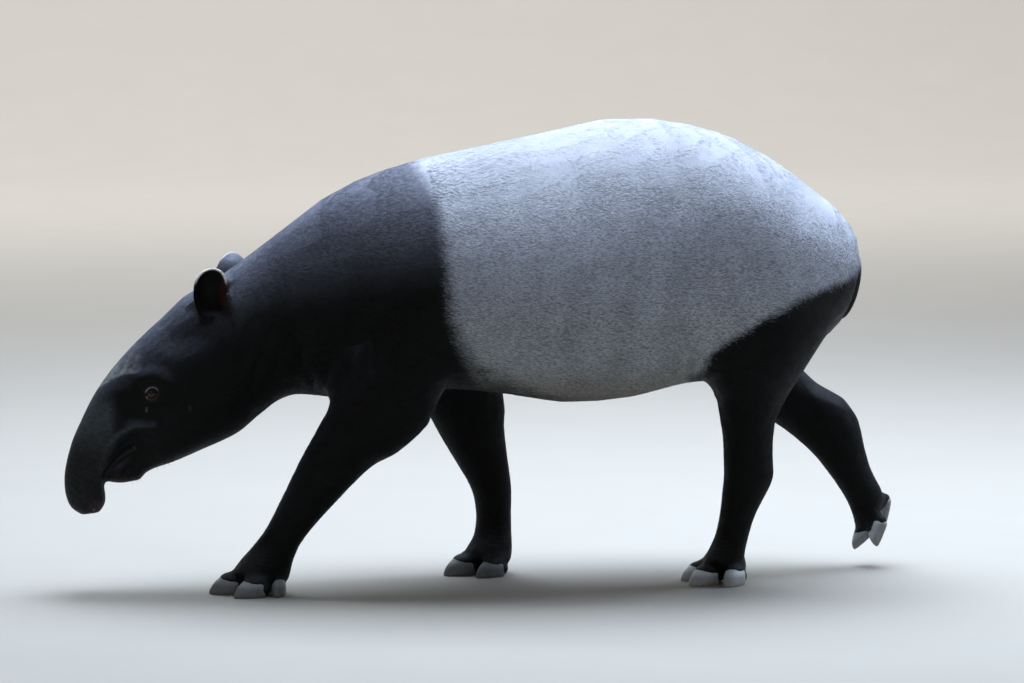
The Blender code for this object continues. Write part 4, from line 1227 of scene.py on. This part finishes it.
def add_bristle(bm, root, run, size):
    """A three-sided bristle from below the skin to a point, drooping a little."""
    across = run.orthogonal().normalized()
    up = run.cross(across)

    def middle(share):
        return root + run * size * share + Vector((0, 0, -0.20 * size * share * share))

    low, high = (
        [
            bm.verts.new(middle(share) + (across * math.cos(a) + up * math.sin(a)) * thick)
            for a in (0, math.tau / 3, 2 * math.tau / 3)
        ]
        for share, thick in ((-0.08, 0.00030), (0.5, 0.00022))
    )
    tip = bm.verts.new(middle(1.0))
    for i, j in ((0, 1), (1, 2), (2, 0)):
        bm.faces.new((low[i], low[j], high[j], high[i]))
        bm.faces.new((high[i], high[j], tip))
    bm.faces.new(low[::-1])


# ---------------------------------------------------------------- settings
LENGTH = {"unit": "LENGTH", "subtype": "DISTANCE"}
COLOUR = {"subtype": "COLOR", "size": 3, "min": 0.0, "max": 1.0}


class TapirSkin(bpy.types.PropertyGroup):
    """Sizes of the hide"""

    voxel: FloatProperty(
        name="Voxel", description="Grain of the fused hide", default=0.0030, min=0.002, **LENGTH
    )
    coat_depth: FloatProperty(
        name="Coat depth", description="How far the hide lies below the coat", default=0.0015, **LENGTH
    )
    fold_depth: FloatProperty(
        name="Fold depth", description="Depth of the slack folds", default=0.0016, **LENGTH
    )
    mouth_depth: FloatProperty(
        name="Mouth depth", description="Depth of the line between the lips", default=0.0045, **LENGTH
    )
    evening: IntProperty(
        name="Evening", description="How often the trunk's facets are softened", default=110
    )
    triangles: IntProperty(name="Triangles", description="How many triangles the hide keeps", default=188000)


class TapirMarkings(bpy.types.PropertyGroup):
    """Colours of the coat and its border"""

    dark: FloatVectorProperty(
        name="Dark coat", description="Forepart and legs", default=(0.0042, 0.0042, 0.0042), **COLOUR
    )
    # Painted light: a bluish sheen painted on the dark coat where faces turn up to the overhead light
    painted_sky_sheen: FloatVectorProperty(
        name="Painted sky sheen", description="Dark coat on upper faces", default=(0.155, 0.172, 0.240), **COLOUR
    )
    # Painted light: the pale coat's colour, painted bluish where the overhead light falls on the back
    saddle: FloatVectorProperty(
        name="Saddle", description="Pale coat on the back", default=(0.43, 0.465, 0.56), **COLOUR
    )
    # Painted shade: the pale coat darker low on the flank
    saddle_shaded_low: FloatVectorProperty(
        name="Saddle, low", description="Pale coat towards the belly", default=(0.27, 0.285, 0.275), **COLOUR
    )
    # Painted shade: the pale coat darker and warmer under the belly
    belly: FloatVectorProperty(
        name="Belly", description="Pale coat under the belly", default=(0.24, 0.215, 0.185), **COLOUR
    )
    rim: FloatVectorProperty(
        name="Ear rim", description="White edge of the ears", default=(0.80, 0.80, 0.78), **COLOUR
    )
    # Painted highlight: grey on the wrinkled bridge of the nose
    nose_highlight_grey: FloatVectorProperty(
        name="Nose highlight", description="Painted highlight on the nose", default=(0.27, 0.295, 0.315), **COLOUR
    )
    border_softness: FloatProperty(
        name="Border softness", description="Half width of the border", default=0.022, **LENGTH
    )
    border_wander: FloatProperty(
        name="Border wander", description="How far the border strays", default=0.006, **LENGTH
    )
    sheen: FloatProperty(name="Sheen", description="Sheen of the coat", default=0.03)


class TapirCoat(bpy.types.PropertyGroup):
    """Sizes and numbers of the tufts"""

    tuft_length: FloatProperty(
        name="Tuft length", description="Length on the trunk", default=0.0100, **LENGTH
    )
    tuft_width: FloatProperty(name="Tuft width", description="Width as a share of the length", default=0.105)
    lift: FloatProperty(
        name="Lift", description="How far tufts rise off the hide", default=0.050,
        unit="ROTATION", subtype="ANGLE",
    )
    tufts: IntProperty(name="Tufts", description="The most tufts in one piece", default=33000)
    seed: IntProperty(name="Seed", description="Seed of the coat's chance", default=7)


class TapirEyes(bpy.types.PropertyGroup):
    """Sizes and colour of the eyes"""

    slit_length: FloatProperty(
        name="Slit length", description="From corner to corner", default=0.0310, **LENGTH
    )
    slit_height: FloatProperty(name="Slit height", description="Between the lids", default=0.0215, **LENGTH)
    iris: FloatVectorProperty(
        name="Iris", description="Colour of the iris", default=(0.026, 0.017, 0.014), **COLOUR
    )


class TapirHooves(bpy.types.PropertyGroup):
    """Colour of the hooves"""

    horn: FloatVectorProperty(
        name="Horn", description="Colour of the horn", default=(0.270, 0.285, 0.300), **COLOUR
    )


class TapirStage(bpy.types.PropertyGroup):
    """Colour of the floor and strength of the lights"""

    floor: FloatVectorProperty(
        name="Floor", description="Colour of the floor", default=(0.44, 0.425, 0.40), **COLOUR
    )
    sky: FloatProperty(
        name="Overhead light", description="Power of the overhead softbox in watts", default=600.0
    )
    front: FloatProperty(name="Front light", description="Power of the front softbox in watts", default=20.0)
    rear: FloatProperty(
        name="Rear light", description="Power of the softbox behind the rump in watts", default=90.0
    )
    air: FloatProperty(name="Surroundings", description="Brightness of the surroundings", default=0.11)


SETTINGS = {
    "tapir_skin": TapirSkin,
    "tapir_markings": TapirMarkings,
    "tapir_coat": TapirCoat,
    "tapir_eyes": TapirEyes,
    "tapir_hooves": TapirHooves,
    "tapir_stage": TapirStage,
}


def settle(thing, material, slot, *nodes):
    """Gives a finished piece its material and body, and hides the solids it stands for; its slot is not used.
    """
    thing.data.materials.clear()
    thing.data.materials.append(material)
    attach(thing, BODY)
    if nodes:
        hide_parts(*nodes)


def hide_object():
    """The hide, which the coat, eyes and whiskers are set on."""
    hide = bpy.data.objects.get("hide")
    if hide is None:
        raise RuntimeError("build the hide first")
    return hide


def hide_surface():
    """The hide as something that rays and nearest points can find."""
    bm = bmesh.new()
    bm.from_mesh(hide_object().data)
    tree = BVHTree.FromBMesh(bm)
    bm.free()
    return tree


# ---------------------------------------------------------------- operators
class TAPIR_OT_hide(bpy.types.Operator):
    """Fuse the flesh solids into one hide with its folds and markings"""

    bl_idname = "tapir.hide"
    bl_label = "Hide"

    def execute(self, context):
        scene = context.scene
        hide = build_hide(scene.tapir_skin)
        mark_hide(hide.data, scene.tapir_markings, scene.tapir_coat)
        settle(hide, hide_material(scene.tapir_markings), "black_coat", *FLESH)
        return {"FINISHED"}


class TAPIR_OT_coat(bpy.types.Operator):
    """Lay tufts of short hair over the hide"""

    bl_idname = "tapir.coat"
    bl_label = "Coat"

    def execute(self, context):
        scene = context.scene
        coat = scene.tapir_coat
        hide = hide_object()
        areas = region_areas(hide.data)
        tuft = add_object("tuft", tuft_mesh())
        tree = coat_tree()
        material = tuft_material(scene.tapir_markings)
        for number, name in enumerate(REGIONS):
            density = coat.tufts / areas[number] * CROWDING / 1
            piece = grow(
                "coat_" + name,
                hide,
                tree,
                Tuft=tuft,
                Material=material,
                Region=number,
                Tufts_per_square_metre=density,
                Spacing=SPACING / math.sqrt(density),
                Width=coat.tuft_width,
                Lift=coat.lift,
                Seed=coat.seed + 10 * number,
            )
            trim_tufts(piece.data, coat.tufts)
            map_tufts(piece.data)
            settle(piece, material, "white_coat" if name.startswith("flank") else "black_coat")
        bpy.data.objects.remove(tuft)
        return {"FINISHED"}


def region_areas(mesh):
    """Square metres of the hide in each coat region, weighed by how thickly it stands."""
    mesh.calc_loop_triangles()
    area = read(mesh.loop_triangles, "area", 1)[:, 0]
    first = read(mesh.loop_triangles, "vertices", 3, np.int32)[:, 0]
    region = read(mesh.attributes["region"].data, "value", 1, np.int32)[:, 0]
    share = area * stored(mesh, "thick")[first]
    return [float(share[region[first] == number].sum()) for number in range(len(REGIONS))]


def trim_tufts(mesh, most):
    """Drops tufts by chance where a piece has more than it may."""
    per_tuft = 5  # points
    count = len(mesh.vertices) // per_tuft
    if count <= most:
        return
    bm = bmesh.new()
    bm.from_mesh(mesh)
    bm.verts.ensure_lookup_table()
    spare = np.random.default_rng(3).permutation(count)[most:]
    gone = [bm.verts[per_tuft * i + j] for i in spare for j in range(per_tuft)]
    bmesh.ops.delete(bm, geom=gone, context="VERTS")
    bm.to_mesh(mesh)
    bm.free()


class TAPIR_OT_eyes(bpy.types.Operator):
    """Set the eyeballs and their lids"""

    bl_idname = "tapir.eyes"
    bl_label = "Eyes and lids"

    def execute(self, context):
        scene = context.scene
        surface = hide_surface()
        wet, bare = eyeball_material(scene.tapir_eyes), lid_material(scene.tapir_markings)
        for name in EYES:
            ball = add_object("eyeball_" + name[4:], eyeball_mesh(name))
            settle(ball, wet, "eye", name)
            lids = add_object("lids_" + name[4:], lids_mesh(name, surface, scene.tapir_eyes))
            settle(lids, bare, "black_coat")
        return {"FINISHED"}


class TAPIR_OT_hooves(bpy.types.Operator):
    """Round and finish the fourteen hooves"""

    bl_idname = "tapir.hooves"
    bl_label = "Hooves"

    def execute(self, context):
        horn = hoof_material(context.scene.tapir_hooves)
        for name in HOOVES:
            settle(hoof_mesh(name), horn, "hoof_horn", name)
        return {"FINISHED"}


class TAPIR_OT_whiskers(bpy.types.Operator):
    """Stand sparse bristles on the lips and chin"""

    bl_idname = "tapir.whiskers"
    bl_label = "Whiskers"

    def execute(self, context):
        sheet = Sheet("bristle")
        colour = sheet.mix(sheet.noise(300, 2), (0.020, 0.018, 0.017), (0.060, 0.056, 0.052))
        bristle = sheet.finish(colour, 0.45)
        settle(add_object("whiskers", whiskers_mesh(hide_surface())), bristle, "black_coat")
        return {"FINISHED"}


class TAPIR_OT_stage(bpy.types.Operator):
    """Put up the floor, the lights and the camera"""

    bl_idname = "tapir.stage"
    bl_label = "Stage"

    def execute(self, context):
        scene = context.scene
        stage = scene.tapir_stage
        add_camera(scene)
        add_floor(stage)
        softbox("overhead", (0.5, 1.0, 5.0), (0.2, 0.0, 0.5), (4.6, 3.2), stage.sky, (0.78, 0.88, 1.0))
        softbox("rear", (4.2, 0.8, 2.6), (0.6, 0.0, 0.8), (2.0, 1.6), stage.rear, (0.72, 0.84, 1.0))
        softbox("front", (-2.8, -5.2, 2.6), (0.0, 0.0, 0.5), (3.0, 2.2), stage.front, (1.0, 0.97, 0.93))
        wall = 4.4 * stage.sky
        softbox("backdrop", (0.0, 11.5, 9.0), (0.0, 16.5, 0.0), (24.0, 7.0), wall, (1.0, 0.99, 0.97))
        world = scene.world or bpy.data.worlds.new("surroundings")
        scene.world = world
        world.use_nodes = True
        background = world.node_tree.nodes["Background"]
        background.inputs[0].default_value = (0.86, 0.92, 1.0, 1)
        background.inputs[1].default_value = stage.air
        scene.view_settings.view_transform = "Standard"
        return {"FINISHED"}


def add_camera(scene):
    """The camera, at the viewpoint."""
    data = bpy.data.cameras.new("camera")
    data.lens, data.sensor_width = VIEW_LENS, 36.0
    camera = bpy.data.objects.new("camera", data)
    scene.collection.objects.link(camera)
    camera.location = VIEWPOINT
    camera.rotation_euler = (math.radians(90 - VIEW_DROP), 0, math.radians(VIEW_AZIMUTH))
    scene.camera = camera


def add_floor(stage):
    """A floor that turns up into a backdrop far behind."""
    bm = bmesh.new()
    near, bend, radius, high, half = -24.0, 14.0, 8.0, 20.0, 32.0
    turns = np.linspace(0.1, math.pi / 2, 14)
    rows = [(near, 0.0), (bend, 0.0)]
    rows += [(bend + radius * math.sin(a), radius - radius * math.cos(a)) for a in turns]
    rows.append((bend + radius, high))
    line = [[bm.verts.new((x, y, z)) for x in (-half, half)] for y, z in rows]
    for one, two in zip(line, line[1:]):
        bm.faces.new((one[0], one[1], two[1], two[0]))
    mesh = mesh_of(bm, "floor")
    mesh.shade_smooth()
    floor = add_object("floor", mesh)
    sheet = Sheet("matt floor")
    colour = sheet.mix(sheet.noise(3, 4), stage.floor, [0.94 * c for c in stage.floor])
    mesh.materials.append(sheet.finish(colour, 0.9, Specular_IOR_Level=0.2))


def softbox(name, place, aim, size, power, colour):
    """A wide soft light at a place, aimed at a point."""
    data = bpy.data.lights.new(name, "AREA")
    data.shape, data.size, data.size_y = "RECTANGLE", *size
    data.energy, data.color = power, colour
    light = bpy.data.objects.new(name, data)
    bpy.context.scene.collection.objects.link(light)
    direction = Vector(aim) - Vector(place)
    light.matrix_world = Matrix.Translation(place) @ direction.to_track_quat("-Z", "Y").to_matrix().to_4x4()


class TAPIR_PT_panel(bpy.types.Panel):
    """Lists the tapir's settings and the steps that build it"""

    bl_idname = "TAPIR_PT_panel"
    bl_label = "Malayan tapir"
    bl_space_type = "VIEW_3D"
    bl_region_type = "UI"
    bl_category = "Tapir"

    def draw(self, context):
        for step in STEPS:
            self.layout.operator(step.bl_idname)
        for name, kind in SETTINGS.items():
            box = self.layout.box()
            box.label(text=name.replace("_", " ").capitalize())
            group = getattr(context.scene, name)
            for field in kind.__annotations__:
                box.prop(group, field)


STEPS = (
    TAPIR_OT_stage,
    TAPIR_OT_hide,
    TAPIR_OT_coat,
    TAPIR_OT_eyes,
    TAPIR_OT_hooves,
    TAPIR_OT_whiskers,
)


def register():
    """Makes the settings, the steps and the panel known."""
    for kind in (*SETTINGS.values(), *STEPS, TAPIR_PT_panel):
        bpy.utils.register_class(kind)
    for name, kind in SETTINGS.items():
        setattr(bpy.types.Scene, name, PointerProperty(type=kind))


def unregister():
    """Takes them away again."""
    for name in SETTINGS:
        delattr(bpy.types.Scene, name)
    for kind in (TAPIR_PT_panel, *reversed(STEPS), *reversed(list(SETTINGS.values()))):
        bpy.utils.unregister_class(kind)


def main():
    """Builds every piece."""
    register()
    bpy.ops.tapir.stage()
    bpy.ops.tapir.hide()
    bpy.ops.tapir.coat()
    bpy.ops.tapir.eyes()
    bpy.ops.tapir.hooves()
    bpy.ops.tapir.whiskers()


if __name__ == "__main__":
    main()
